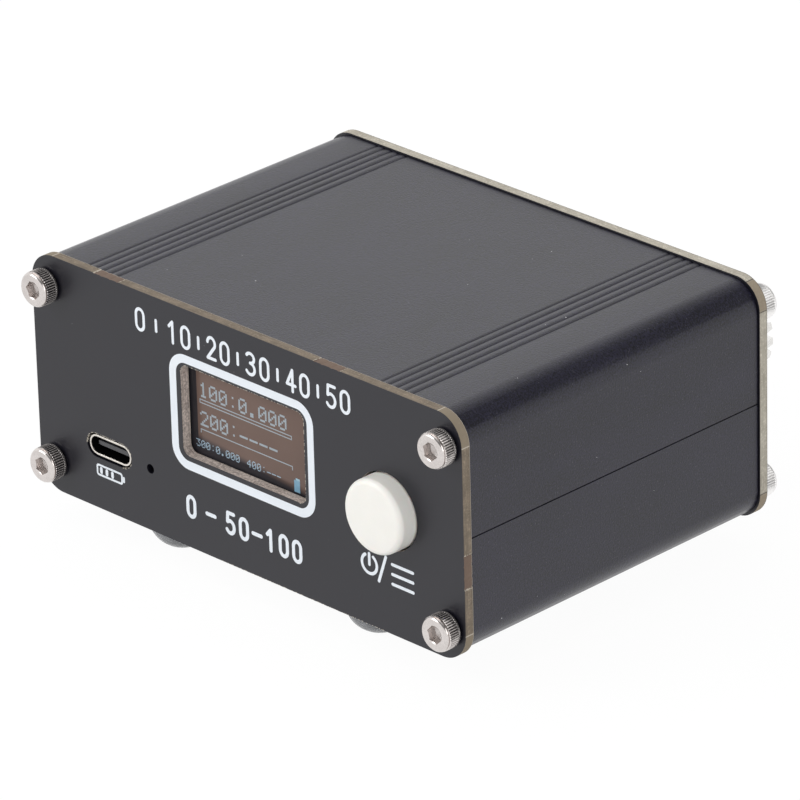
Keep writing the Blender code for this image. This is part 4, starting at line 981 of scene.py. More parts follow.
class Form:
    """A mesh in the making, which ends as one piece of the object."""

    def __init__(self) -> None:
        """Starts empty."""
        self.mesh = bmesh.new()

    @classmethod
    def of_node(cls, node: str) -> "Form":
        """A clean copy of a CAD node's solid, with its flat faces made whole.

        Args:
            node: The node's name.

        Returns:
            The copy.
        """
        form = cls()
        form.mesh.from_mesh(frame["nodes"][node].data)
        bmesh.ops.remove_doubles(form.mesh, verts=form.mesh.verts, dist=MERGE)
        bmesh.ops.dissolve_limit(
            form.mesh, angle_limit=math.radians(0.5), verts=form.mesh.verts, edges=form.mesh.edges
        )
        return form

    def cleaned(self) -> "Form":
        """Joins doubled points and turns the faces outwards.

        Returns:
            This form.
        """
        bmesh.ops.remove_doubles(self.mesh, verts=self.mesh.verts, dist=MERGE)
        bmesh.ops.recalc_face_normals(self.mesh, faces=self.mesh.faces)
        return self

    def turned(self, profile: Sequence[Point], steps: int) -> "Form":
        """Spins a profile round Z.

        Args:
            profile: Points of (radius, height).
            steps: How many sides the turned shape has.

        Returns:
            This form.
        """
        verts = [self.mesh.verts.new((radius, 0.0, height)) for radius, height in profile]
        edges = [self.mesh.edges.new(pair) for pair in zip(verts, verts[1:])]
        bmesh.ops.spin(
            self.mesh, geom=[*verts, *edges], cent=(0, 0, 0), axis=(0, 0, 1),
            angle=2 * math.pi, steps=steps, use_merge=True,
        )
        return self.cleaned()

    def stacked(self, rings: Sequence[tuple[Along, Along]], steps: int) -> "Form":
        """Draws a ring round Z out from one radius and height to the next.

        Where the last ring isn't the first again, both ends are closed with a point.

        Args:
            rings: Each ring's radius and height, as numbers or as functions of the angle.
            steps: How many points a ring has.

        Returns:
            This form.
        """
        ring = bmesh.ops.create_circle(self.mesh, radius=1.0, segments=steps)["verts"]
        edges = first = list(dict.fromkeys(edge for vert in ring for edge in vert.link_edges))
        self._place_ring(ring, *rings[0])
        for radius, height in rings[1:]:
            made = bmesh.ops.extrude_edge_only(self.mesh, edges=edges)["geom"]
            ring = {item: None for item in made if isinstance(item, bmesh.types.BMVert)}
            edges = [item for item in made if isinstance(item, bmesh.types.BMEdge)]
            edges = [edge for edge in edges if all(vert in ring for vert in edge.verts)]
            self._place_ring(ring, radius, height)
        if rings[-1] != rings[0]:
            for loop in (first, edges):
                made = bmesh.ops.contextual_create(self.mesh, geom=loop)
                bmesh.ops.poke(self.mesh, faces=made["faces"])
        return self.cleaned()

    def _place_ring(self, ring: Sequence[bmesh.types.BMVert], radius: Along, height: Along) -> None:
        """Puts each point of a ring at its radius and height.

        Args:
            ring: The ring's points.
            radius: Its radius, as a number or as a function of the angle.
            height: Its height, as a number or as a function of the angle.
        """
        for vert in ring:
            angle = math.atan2(vert.co.y, vert.co.x) % (2 * math.pi)
            out = radius(angle) if callable(radius) else radius
            up = height(angle) if callable(height) else height
            vert.co = (out * math.cos(angle), out * math.sin(angle), up)

    def plate(self, outlines: Sequence[Outline], thickness: float) -> "Form":
        """A flat plate behind the XY plane, with openings.

        Args:
            outlines: The plate's edge, and then its openings.
            thickness: How far it reaches towards -Z.

        Returns:
            This form.
        """
        edges = []
        for outline in outlines:
            verts = [self.mesh.verts.new((x, y, 0.0)) for x, y in outline]
            edges += [self.mesh.edges.new(pair) for pair in zip(verts, verts[1:] + verts[:1])]
        made = bmesh.ops.triangle_fill(self.mesh, use_beauty=True, edges=edges)["geom"]
        faces = [item for item in made if isinstance(item, bmesh.types.BMFace)]
        return self._thickened(faces, thickness)

    def joined_plate(self, outlines: Sequence[Outline], thickness: float) -> "Form":
        """A flat plate behind the XY plane, from parts that may overlap.

        Args:
            outlines: The parts' edges, anticlockwise.
            thickness: How far it reaches towards -Z.

        Returns:
            This form.
        """
        points: list[Vector] = []
        loops: list[list[int]] = []
        for outline in outlines:
            loops.append(list(range(len(points), len(points) + len(outline))))
            points += [Vector(point) / MM for point in outline]
        found, _, cells, _, _, owners = delaunay_2d_cdt(points, [], loops, 1, 1e-5, True)
        verts = [self.mesh.verts.new((x * MM, y * MM, 0.0)) for x, y in found]
        faces = [
            self.mesh.faces.new([verts[index] for index in cell])
            for cell, owner in zip(cells, owners) if owner
        ]
        spare = [vert for vert in verts if not vert.link_faces]
        bmesh.ops.delete(self.mesh, geom=spare, context="VERTS")
        return self._thickened(faces, thickness)

    def _thickened(self, faces: Sequence[bmesh.types.BMFace], thickness: float) -> "Form":
        """Gives flat faces a thickness towards -Z.

        Args:
            faces: The faces.
            thickness: How far they reach.

        Returns:
            This form.
        """
        made = bmesh.ops.extrude_face_region(self.mesh, geom=faces)["geom"]
        moved = [item for item in made if isinstance(item, bmesh.types.BMVert)]
        bmesh.ops.translate(self.mesh, vec=(0.0, 0.0, -thickness), verts=moved)
        return self.cleaned()

    def block(self, size: Sequence[float], centre: Sequence[float], edge: float = 0.0) -> "Form":
        """Adds a block.

        Args:
            size: Its three sides.
            centre: Its middle.
            edge: How far its edges are eased.

        Returns:
            This form.
        """
        scale = Matrix.Diagonal((*size, 1.0))
        made = bmesh.ops.create_cube(self.mesh, matrix=Matrix.Translation(centre) @ scale)
        if edge:
            edges = list(dict.fromkeys(e for vert in made["verts"] for e in vert.link_edges))
            self._bevel(edges, edge, 2)
        return self

    def eased(
        self, offset: float, segments: int = 2, sharper_than: float = 30.0,
        where: Callable[[Vector], bool] | None = None,
    ) -> "Form":
        """Rounds the sharp edges.

        Args:
            offset: How far the rounding reaches from an edge.
            segments: How many faces it has across.
            sharper_than: The least angle between two faces that counts as sharp, in degrees.
            where: Says of a point whether edges through it are rounded. By default all are.

        Returns:
            This form.
        """
        limit = math.radians(sharper_than)
        sharp = [e for e in self.mesh.edges if e.is_manifold and e.calc_face_angle() > limit]
        if where:
            sharp = [e for e in sharp if all(where(vert.co) for vert in e.verts)]
        self._bevel(sharp, offset, segments)
        return self

    def _bevel(self, edges: Sequence[bmesh.types.BMEdge], offset: float, segments: int) -> None:
        """Bevels these edges.

        Args:
            edges: The edges.
            offset: How far the bevel reaches from each.
            segments: How many faces it has across.
        """
        bmesh.ops.bevel(
            self.mesh, geom=edges, offset=offset, offset_type="OFFSET", segments=segments,
            profile=0.5, affect="EDGES", clamp_overlap=True, material=-1,
        )

    def spun(self, degrees: float) -> "Form":
        """Turns the whole form about its own Z.

        Args:
            degrees: How far.

        Returns:
            This form.
        """
        turn = Matrix.Rotation(math.radians(degrees), 3, "Z")
        bmesh.ops.rotate(self.mesh, cent=(0, 0, 0), matrix=turn, verts=self.mesh.verts)
        return self

    def moved(self, centre: Sequence[float], facing: Facing = Facing.UP) -> "Form":
        """Turns the whole form to its facing, and moves it to its place.

        Args:
            centre: Where its own origin comes.
            facing: Which way its own +Z points there.

        Returns:
            This form.
        """
        matrix = Matrix.Translation(centre) @ facing.turn()
        bmesh.ops.transform(self.mesh, matrix=matrix, verts=self.mesh.verts)
        return self

    def with_copy_of(self, other: "Form") -> "Form":
        """Adds a copy of another form's mesh to this one.

        Args:
            other: The form to copy.

        Returns:
            This form.
        """
        spare = bpy.data.meshes.new("spare")
        other.mesh.to_mesh(spare)
        self.mesh.from_mesh(spare)
        bpy.data.meshes.remove(spare)
        return self

    def piece(
        self, name: str, finish: Finish, *stands_for: str, body: str = "case", crease: float = 32.0
    ) -> bpy.types.Object:
        """Ends the form as a piece of the object.

        Args:
            name: The piece's name.
            finish: What it is finished with.
            stands_for: The CAD nodes that it stands for.
            body: The CAD body that it rides on.
            crease: The angle past which an edge is drawn sharp, in degrees.

        Returns:
            The new object.
        """
        mesh = bpy.data.meshes.new(name)
        self.mesh.to_mesh(mesh)
        faces = len(self.mesh.faces)
        self.mesh.free()
        mesh.materials.append(finish.material())
        mesh.shade_smooth()
        mesh.set_sharp_from_angle(angle=math.radians(crease))
        made = bpy.data.objects.new(name, mesh)
        bpy.context.scene.collection.objects.link(made)
        even = made.modifiers.new("flat_faces_stay_flat", "WEIGHTED_NORMAL")
        even.keep_sharp = True
        even.weight = FLAT_FACE_WEIGHT
        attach(made, body)
        if stands_for:
            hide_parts(*stands_for)
        log.info("%s: %d faces, %s", name, faces, finish.name)
        return made


@dataclass
class SplitCase:
    """The two anodised halves of the case."""

    edge: float = 0.05 * MM
    skin: float = 0.75 * MM
    stretch: float = 0.22 * MM
    rim: float = 23.32 * MM
    rim_lift: float = 0.15 * MM
    groove_depth: float = 0.4 * MM
    groove_fill: float = 0.22 * MM
    finish: Finish = Anodised("black_anodising", "black_anodised")

    def build(self) -> None:
        """Both halves, with the fine edge that blasting leaves on the outside.

        Their ends come close to the plates and their rims close to each other, as when the screws
        are tight.
        """
        low, high = Box.of("bottom_shell"), Box.of("top_shell")

        def outside(point: Vector) -> bool:
            """Tells whether a point is on the extrusion's outer skin.

            Args:
                point: The point.

            Returns:
                Whether it is.
            """
            return (
                point.x < low.low.x + self.skin or point.x > low.high.x - self.skin
                or point.z < low.low.z + self.skin or point.z > high.high.z - self.skin
            )

        for half in ("top_shell", "bottom_shell"):
            form = Form.of_node(half)
            for side, ways in ((-1, (0.0, -self.stretch, 0.0)), (1, (0.0, self.stretch, 0.0))):
                end = [vert for vert in form.mesh.verts if side * (vert.co.y - low.middle.y) > 0.0]
                bmesh.ops.translate(form.mesh, vec=ways, verts=end)
            levels = [(high.high.z - self.groove_depth, self.groove_fill)]
            if half == "bottom_shell":
                floor = low.low.z + self.groove_depth
                levels = [(self.rim, self.rim_lift), (floor, -self.groove_fill)]
            for level, lift in levels:
                moved = [vert for vert in form.mesh.verts if abs(vert.co.z - level) < 0.01 * MM]
                bmesh.ops.translate(form.mesh, vec=(0.0, 0.0, lift), verts=moved)
            form.eased(self.edge, 2, where=outside)
            form.piece(f"anodised_{half}", self.finish, half)


@dataclass
class EndPlates:
    """The front and rear plates, cut from coated glass-fibre board."""

    corner: float = 4.6 * MM
    corner_steps: int = 18
    screw_hole: float = 1.6 * MM
    window: Cut = Cut(-0.17 * MM, 2.87 * MM, 25.33 * MM, 14.4 * MM, 1.3 * MM)
    gap: float = 0.3 * MM
    light_hole: float = 0.75 * MM
    socket_hole: float = 8.24 * MM
    stub_dip: float = 0.12 * MM
    stub_depth: float = 1.0 * MM
    stub_corner: float = 0.4 * MM
    side_stub: Point = (-7.3 * MM, -2.0 * MM)
    top_stubs: tuple[Point, Point] = ((14.9 * MM, 20.2 * MM), (-30.6 * MM, -25.4 * MM))
    fray_glint_foot: float = 11.0 * MM
    fray_glint_foot_length: float = 34.0 * MM
    crease: float = 25.0

    def build(self) -> None:
        """Both plates."""
        self._build_front(Box.of("front_panel"))
        self._build_rear(Box.of("rear_panel"))

    def _build_front(self, box: Box) -> None:
        """The front plate, with its openings and the stubs where it was broken out of its sheet.

        Args:
            box: The plate's box.
        """
        window = self.window.raised(box.middle.z)
        port, light = Box.of("usb_shell"), Box.of("charge_light").middle
        high = port.size.z + 2 * self.gap
        slot = Cut(port.middle.x, port.middle.z, port.size.x + 2 * self.gap, high, high / 2)
        wide = 2 * self.light_hole
        pinhole = Cut(light.x, light.z, wide, wide, self.light_hole)
        board = Laminate(
            "front_plate_board", "black_panel", low=box.low.y, high=box.high.y,
            edge=Cut(0.0, box.middle.z, box.size.x, box.size.z, self.corner),
            cuts=(window, slot, self._foot_mark(box)), painted_shade_cuts=(pinhole, slot),
            stubs=self._stub_marks(box), burr=True,
        )
        outlines = [self._edge(box, True), *self._screw_holes(box), *self._front_openings(box)]
        self._cut(box, board, outlines, Facing.FRONT)

    def _build_rear(self, box: Box) -> None:
        """The rear plate, with the holes for its two sockets.

        Args:
            box: The plate's box.
        """
        board = Laminate(
            "rear_plate_board", "black_panel", low=box.low.y, high=box.high.y,
            core=(0.52, 0.485, 0.41), core_shade=(0.33, 0.3, 0.245),
            edge=Cut(0.0, box.middle.z, box.size.x, box.size.z, self.corner),
            corner_start=1.9 * MM, corner_core=(0.27, 0.215, 0.15), edge_line_and_glint=(0.09, 0.075, 0.06),
        )
        across = Box.of("antenna_socket").middle.x
        holes = [disc_outline((x, 0.0), self.socket_hole, 96) for x in (-across, across)]
        outlines = [self._edge(box, False), *self._screw_holes(box), *holes]
        self._cut(box, board, outlines, Facing.REAR)

    def _cut(self, box: Box, board: Laminate, outlines: list[Outline], facing: Facing) -> None:
        """Cuts a plate out of its board and puts it in its place.

        Args:
            box: The plate's box.
            board: What it is cut from.
            outlines: The plate's edge and its openings.
            facing: Which way its outer face points.
        """
        outer = box.low.y if facing is Facing.FRONT else box.high.y
        form = Form().plate(outlines, box.size.y)
        form.moved((0.0, outer, box.middle.z), facing)
        form.piece(f"{facing.value}_plate", board, f"{facing.value}_panel", crease=self.crease)

    def _foot_mark(self, box: Box) -> Cut:
        """Where the front plate's lower edge is frayed, with a pale painted highlight on the fray.

        Args:
            box: The plate's box.

        Returns:
            A cut just below the plate.
        """
        middle = box.low.z - self.stub_depth / 2
        length = self.fray_glint_foot_length
        return Cut(self.fray_glint_foot, middle, length, self.stub_depth, self.stub_corner)

    def _stub_marks(self, box: Box) -> tuple[Cut, ...]:
        """Where the front plate's board is broken at its stubs.

        Args:
            box: The plate's box.

        Returns:
            The break at its right side, and those at its top.
        """
        start, end = self.side_stub
        middle = box.middle.z + (start + end) / 2
        side = Cut(box.high.x, middle, self.stub_depth, end - start, self.stub_corner)
        return side, *(
            Cut((start + end) / 2, box.high.z, end - start, self.stub_depth, self.stub_corner)
            for start, end in self.top_stubs
        )

    def _edge(self, box: Box, stubs: bool) -> Outline:
        """A plate's edge.

        Args:
            box: The plate's box.
            stubs: Whether it has the stubs where it was broken out of its sheet.

        Returns:
            The edge's points.
        """
        points = rounded_outline((0.0, 0.0), box.size.x, box.size.z, self.corner, self.corner_steps)
        if not stubs:
            return points
        right, top = box.size.x / 2, box.size.z / 2
        beside = [(right + out, y) for out, y in self._stub(*self.side_stub)]
        above = [
            (x, top + out) for start, end in self.top_stubs for out, x in self._stub(end, start)
        ]
        count = self.corner_steps + 1
        return [*beside, *points[:count], *above, *points[count:]]

    def _stub(self, start: float, end: float) -> Outline:
        """The rough break of a stub.

        Args:
            start: Where it starts along the plate's edge.
            end: Where it ends.

        Returns:
            How far it stands out, which is less than 0, and at which places along the edge.
        """
        shares = (0.0, 0.03, 0.1, 0.27, 0.33, 0.4, 0.62, 0.68, 0.75, 0.92, 0.97, 1.0)
        dips = (0.0, 1.0, 0.25, 0.3, 0.9, 0.2, 0.3, 1.0, 0.25, 0.3, 1.0, 0.0)
        length = end - start
        return [(-dip * self.stub_dip, start + length * share) for share, dip in zip(shares, dips)]

    def _screw_holes(self, box: Box) -> list[Outline]:
        """The four screw holes of a plate.

        Args:
            box: The plate's box.

        Returns:
            Their outlines.
        """
        screw = Box.of("front_screw_top_right").middle
        x, y = screw.x, screw.z - box.middle.z
        places = ((x, y), (-x, y), (-x, -y), (x, -y))
        return [disc_outline(place, self.screw_hole, 32) for place in places]

    def _front_openings(self, box: Box) -> list[Outline]:
        """The window, the port's slot, the charge light's pinhole and the button's hole.

        Args:
            box: The front plate's box.

        Returns:
            Their outlines.
        """
        port, button, light = Box.of("usb_shell"), Box.of("button_cap"), Box.of("charge_light")
        slot_width, slot_height = port.size.x + 2 * self.gap, port.size.z + 2 * self.gap
        port_at, button_at, light_at = (
            (found.middle.x, found.middle.z - box.middle.z) for found in (port, button, light)
        )
        return [
            self.window.outline(10),
            rounded_outline(port_at, slot_width, slot_height, 0.4999 * slot_height, 14),
            disc_outline(light_at, self.light_hole, 32),
            disc_outline(button_at, button.size.x / 2 + self.gap, 96),
        ]


class Tick(Enum):
    """The marks between a scale's numbers."""

    UPRIGHT = "upright"
    LEVEL = "level"


@dataclass
class Printing:
    """The white marks on the front plate: the window's frame, plain scales and signs."""

    line: float = 0.5 * MM
    bold_line: float = 0.62 * MM
    tick_half: float = 0.85 * MM
    ink: float = 0.02 * MM
    digit_width: float = 2.1 * MM
    digit_height: float = 3.8 * MM
    digit_pitch: float = 2.75 * MM
    frame: tuple[Cut, Cut] = (
        Cut(-0.33 * MM, 2.65 * MM, 29.6 * MM, 18.3 * MM, 3.35 * MM),
        Cut(-0.28 * MM, 2.69 * MM, 26.9 * MM, 15.57 * MM, 2.0 * MM),
    )
    frame_steps: tuple[int, int] = (14, 12)
    upper_numbers: tuple[str, ...] = ("0", "10", "20", "30", "40", "50")
    upper_ends: Point = (-20.95 * MM, 19.75 * MM)
    upper_foot: float = 12.7 * MM
    lower_numbers: tuple[str, ...] = ("0", "50", "100")
    lower_ends: Point = (-11.6 * MM, 7.6 * MM)
    lower_foot: float = -14.3 * MM
    standby: Point = (25.1 * MM, -9.35 * MM)
    standby_radius: float = 1.5 * MM
    slash: tuple[Point, Point] = ((28.45 * MM, -7.2 * MM), (26.95 * MM, -11.45 * MM))
    menu_ends: Point = (29.7 * MM, 33.8 * MM)
    menu_top: float = -7.95 * MM
    menu_pitch: float = 1.55 * MM
    battery: Cut = Cut(-29.0 * MM, -12.75 * MM, 5.6 * MM, 1.9 * MM, 0.45 * MM)
    battery_line: float = 0.32 * MM
    finish: Finish = Ink("white_ink", "white_plastic")

    def build(self) -> None:
        """All the marks, each laid on the plate's face."""
        frame = [cut.outline(steps) for cut, steps in zip(self.frame, self.frame_steps)]
        self._lay("window_frame_print", [frame])
        upper = self._scale(
            self.upper_numbers, self.upper_ends, self.upper_foot, Tick.UPRIGHT, self.line
        )
        self._lay("upper_scale_print", upper)
        lower = self._scale(
            self.lower_numbers, self.lower_ends, self.lower_foot, Tick.LEVEL, self.bold_line
        )
        self._lay("lower_scale_print", lower)
        self._lay("standby_sign_print", self._standby_sign())
        self._lay("charge_sign_print", self._charge_sign())

    def _lay(self, name: str, marks: Sequence[Sequence[Outline]]) -> None:
        """Lays marks on the plate as one piece.

        Args:
            name: The piece's name.
            marks: Each mark's outline, followed by its openings.
        """
        plate = Box.of("front_panel")
        whole = [outlines[0] for outlines in marks if len(outlines) == 1]
        form = Form().joined_plate(whole, 2 * self.ink) if whole else Form()
        for outlines in marks:
            if len(outlines) > 1:
                form.with_copy_of(Form().plate(outlines, 2 * self.ink))
        form.moved((0.0, plate.low.y - self.ink, plate.middle.z), Facing.FRONT)
        form.piece(name, self.finish)

    def _scale(
        self, numbers: Sequence[str], ends: Point, foot: float, tick: Tick, line: float
    ) -> list[list[Outline]]:
        """A row of plain numbers with a mark between each two.

        Args:
            numbers: The numbers.
            ends: Where the middles of the first and last number are.
            foot: The height of the row's foot.
            tick: The kind of mark between two numbers.
            line: The width of the strokes.

        Returns:
            The marks.
        """
        marks = []
        pitch = (ends[1] - ends[0]) / (len(numbers) - 1)
        middles = [ends[0] + index * pitch for index in range(len(numbers))]
        halves = [
            ((len(number) - 1) * self.digit_pitch + self.digit_width) / 2 for number in numbers
        ]
        for number, middle, half in zip(numbers, middles, halves):
            for index, digit in enumerate(number):
                marks += self._digit(digit, middle - half + index * self.digit_pitch, foot, line)
        y = foot + self.digit_height / 2
        gaps = zip(middles, halves, middles[1:], halves[1:])
        for middle, half, next_middle, next_half in gaps:
            x = (middle + half + next_middle - next_half) / 2
            path = [(x, y - self.tick_half), (x, y + self.tick_half)]
            if tick is Tick.LEVEL:
                path = [(x - self.tick_half, y), (x + self.tick_half, y)]
            marks.append([line_outline(path, line)])
        return marks

    def _digit(self, digit: str, left: float, foot: float, line: float) -> list[list[Outline]]:
        """One digit.

        Args:
            digit: The digit.
            left: Where its left side is.
            foot: Where its foot is.
            line: The width of its strokes.

        Returns:
            The outlines of its strokes.
        """
        wide, high = self.digit_width - line, self.digit_height - line
        left, foot = left + line / 2, foot + line / 2
        return [
            [line_outline([(left + x * wide, foot + y * high) for x, y in path], line)]
            for path in self._strokes(digit)
        ]

    def _strokes(self, digit: str) -> list[Outline]:
        """The strokes of a digit, in a box of 1 by 1.

        Args:
            digit: The digit.

        Returns:
            A path for each stroke.
        """
        def bend(x: float, y: float, wide: float, high: float, start: float, end: float) -> Outline:
            """Part of an upright oval round (x, y)."""
            return arc_points((x, y), wide, start, end, 14, high / wide)

        strokes = {
            "0": [
                bend(0.5, 0.72, 0.5, 0.28, 0.0, 180.0),
                [(0.0, 0.72), (0.0, 0.28)],
                bend(0.5, 0.28, 0.5, 0.28, 180.0, 360.0),
                [(1.0, 0.28), (1.0, 0.72)],
            ],
            "1": [[(0.1, 0.76), (0.55, 1.0)], [(0.55, 1.0), (0.55, 0.0)]],
            "2": [
                [*bend(0.5, 0.72, 0.48, 0.28, 172.0, -25.0), (0.0, 0.0)],
                [(0.0, 0.0), (1.0, 0.0)],
            ],
            "3": [
                bend(0.42, 0.77, 0.5, 0.23, 148.0, -90.0),
                bend(0.42, 0.27, 0.55, 0.27, 90.0, -150.0),
            ],
            "4": [[(0.7, 1.0), (0.0, 0.3)], [(0.0, 0.3), (1.05, 0.3)], [(0.7, 1.0), (0.7, 0.0)]],
            "5": [
                [(0.95, 1.0), (0.12, 1.0)],
                [(0.12, 1.0), (0.06, 0.55)],
                bend(0.43, 0.31, 0.55, 0.31, 128.0, -148.0),
            ],
        }
        return strokes[digit]

    def _standby_sign(self) -> list[list[Outline]]:
        """The sign for standby, a stroke, and the three bars of a menu.

        Returns:
            The marks.
        """
        x, y = self.standby
        ring = arc_points((x, y), self.standby_radius, 122.0, 418.0, 26)
        upright = [(x, y + 1.6 * MM), (x, y - 0.1 * MM)]
        marks = [[line_outline(path, self.line)] for path in (ring, upright, list(self.slash))]
        for row in range(3):
            height = self.menu_top - row * self.menu_pitch
            path = [(end, height) for end in self.menu_ends]
            marks.append([line_outline(path, self.line)])
        return marks

    def _charge_sign(self) -> list[list[Outline]]:
        """An outlined battery with its pole and three bars.

        Returns:
            The marks.
        """
        x, y, line = self.battery.x, self.battery.z, self.battery_line
        wide, high = self.battery.width, self.battery.height
        outer = self.battery.outline(6)
        inner = rounded_outline((x, y), wide - 2 * line, high - 2 * line, 0.2 * MM, 4)
        pole, half = x + wide / 2 + 0.25 * MM, 0.3 * MM
        marks = [[outer, inner], [line_outline([(pole, y - half), (pole, y + half)], 0.4 * MM)]]
        for bar in range(3):
            place = x - wide / 2 + (1.0 + 1.2 * bar) * MM
            path = [(place, y - half), (place, y + half)]
            marks.append([line_outline(path, 0.55 * MM, 4)])
        return marks


GLYPHS: Mapping[str, str] = {
    "0": "01110 10001 10011 10101 11001 10001 01110",
    "1": "00100 01100 00100 00100 00100 00100 01110",
    "2": "01110 10001 00001 00010 00100 01000 11111",
    "3": "11111 00010 00100 00010 00001 10001 01110",
    "4": "00010 00110 01010 10010 11111 00010 00010",
    ":": "00000 00100 00000 00000 00000 00100 00000",
    ".": "00000 00000 00000 00000 00000 01100 01100",
    "-": "00000 00000 00000 00000 11111 00000 00000",
}


@dataclass
class DotMatrix:
    """Lit dots on the display, counted across and down from its upper left dot."""

    left: float
    top: float
    face: float
    pitch: float = 0.17 * MM
    gap: float = 0.02 * MM
    stand: float = 0.012 * MM
    form: Form = field(default_factory=Form)

    def block(self, left: int, top: int, right: int, foot: int) -> None:
        """Lights a rectangle of dots.

        Args:
            left: Its first column.
            top: Its first row.
            right: The column after its last.
            foot: The row after its last.
        """
        wide, high = (right - left) * self.pitch, (foot - top) * self.pitch
        x = self.left + left * self.pitch + wide / 2
        z = self.top - top * self.pitch - high / 2
        size = (wide - self.gap, 2 * self.stand, high - self.gap)
        self.form.block(size, (x, self.face, z))

    def row(self, text: str, column: int, row: int, scale: int) -> None:
        """Lights a row of characters.

        Args:
            text: The characters.
            column: The first character's left column.
            row: Its top row.
            scale: How many dots wide and high each point of a character is.
        """
        for index, character in enumerate(text):
            for down, line in enumerate(GLYPHS[character].split()):
                for across, lit in enumerate(line):
                    if lit == "1":
                        x = column + (6 * index + across) * scale
                        y = row + down * scale
                        self.block(x, y, x + scale, y + scale)


@dataclass
class Display:
    """The display's glass and what it shows: plain numbers, dashes and bars."""

    edge: float = 0.12 * MM
    first_dot: Point = (-11.0 * MM, 7.24 * MM)
    # Where the painted reflection of the dark window walls lies, on the left and along the foot.
    painted_border_left: float = -11.6 * MM
    painted_border_foot: tuple[Point, Point] = ((-12.1 * MM, -1.63 * MM), (10.45 * MM, -3.71 * MM))

    def build(self) -> None:
        """The glass, and the lit dots on it."""
        face, middle = Box.of("display_glass").low.y, Box.of("front_panel").middle.z
        foot = tuple((x, z + middle) for x, z in self.painted_border_foot)
        glass = ScreenGlass("display_cover", "display_glass", left=self.painted_border_left, foot=foot)
        form = Form.of_node("display_glass").eased(self.edge, 2)
        form.piece("display_cover_glass", glass, "display_glass")

        left, top = self.first_dot[0], middle + self.first_dot[1]
        dots = DotMatrix(left, top, face)
        dots.row("100:0.000", 0, 0, 2)
        dots.block(0, 16, 112, 17)
        dots.block(0, 19, 112, 20)
        dots.block(0, 17, 1, 19)
        dots.block(111, 17, 112, 19)
        dots.row("200:----", 0, 27, 2)
        dots.block(0, 44, 112, 45)
        dots.block(0, 45, 1, 48)
        dots.block(111, 45, 112, 48)
        dots.form.piece("lit_dots", LitDots("lit_dots", "display_glass"))

        small = DotMatrix(left, top, face)
        small.row("300:0.000", -6, 55, 1)
        small.row("400:---", 56, 55, 1)
        bright = LitDots("lit_small_dots", "display_glass", colour=(0.35, 0.47, 0.57))
        small.form.piece("lit_small_row", bright)

        level = DotMatrix(left, top, face)
        level.block(113, 56, 120, 67)
        blue = LitDots("lit_level_bar", "display_glass", colour=(0.18, 0.35, 0.48))
        level.form.piece("lit_level_bar", blue)
        tip = DotMatrix(left, top, face)
        tip.block(115, 54, 120, 56)
        pale = LitDots("lit_level_tip", "display_glass", colour=(0.32, 0.5, 0.6))
        tip.form.piece("lit_level_tip", pale)


@dataclass
class ChargingPort:
    """The charging port in the front plate, with its tongue and contacts."""

    lip: float = 0.09 * MM
    contact_pitch: float = 0.5 * MM
    contact_count: int = 12

    def build(self) -> None:
        """The shell, the tongue and the two rows of contacts."""
        # The shell's inside is painted near black past its mouth, as painted shade.
        steel = Plating(
            "port_rim_steel", "port_steel", colour=(0.8, 0.76, 0.7), dull=(0.66, 0.62, 0.57),
            roughness=0.22, painted_shade_start=Box.of("usb_shell").low.y + 0.06 * MM,
        )
        Form.of_node("usb_shell").eased(self.lip, 3, 60.0).piece("port_shell", steel, "usb_shell")
        plastic = Moulding(
            "port_plastic", "black_plastic", colour=(0.05, 0.05, 0.055), roughness=0.16
        )
        Form.of_node("usb_tongue").eased(0.12 * MM, 3).piece("port_tongue", plastic, "usb_tongue")

        tongue = Box.of("usb_tongue")
        contacts = Form()
        for index in range(self.contact_count):
            x = tongue.middle.x + (index - (self.contact_count - 1) / 2) * self.contact_pitch
            for side in (1, -1):
                centre = (x, tongue.low.y + 2.3 * MM, tongue.middle.z + side * 0.355 * MM)
                contacts.block((0.26 * MM, 3.4 * MM, 0.06 * MM), centre, 0.02 * MM)
        gold = Plating(
            "contact_gold", "gold_brass", colour=(0.85, 0.6, 0.25), dull=(0.7, 0.47, 0.18),
            roughness=0.25,
        )
        contacts.piece("port_contacts", gold)


@dataclass
class PushButton:
    """The white push button."""

    edge: float = 0.95 * MM
    crown: float = 0.05 * MM
    wall: float = 1.2 * MM
    boss: float = 3.6 * MM

    def build(self) -> None:
        """The cap, with its softly rounded rim and the boss on its inside."""
        box = Box.of("button_cap")
        radius, depth = box.size.x / 2, box.size.y
        inside = radius - self.wall
        flat = radius - self.edge
        crown = [(flat * step / 4, -self.crown * (step / 4) ** 2) for step in range(4)]
        rim = arc_points((flat, -self.edge), self.edge, 86.0, 0.0, 12)
        profile = [
            *crown,
            *((r, h - self.crown * (1.0 + h / self.edge)) for r, h in rim),
            (radius, 0.15 * MM - depth),
            (radius - 0.15 * MM, -depth),
            (inside, -depth),
            (inside, -self.wall),
            (self.boss, -self.wall),
            (self.boss, 0.1 * MM - depth),
            (0.0, 0.1 * MM - depth),
        ]
        white = Moulding(
            "button_white", "white_button", colour=(0.86, 0.845, 0.80), roughness=0.34,
            mottle=0.012, scatter=0.08,
        )
        form = Form().turned(profile, 128)
        form.moved((box.middle.x, box.low.y, box.middle.z), Facing.FRONT)
        form.piece("push_button", white, "button_cap", body="button")


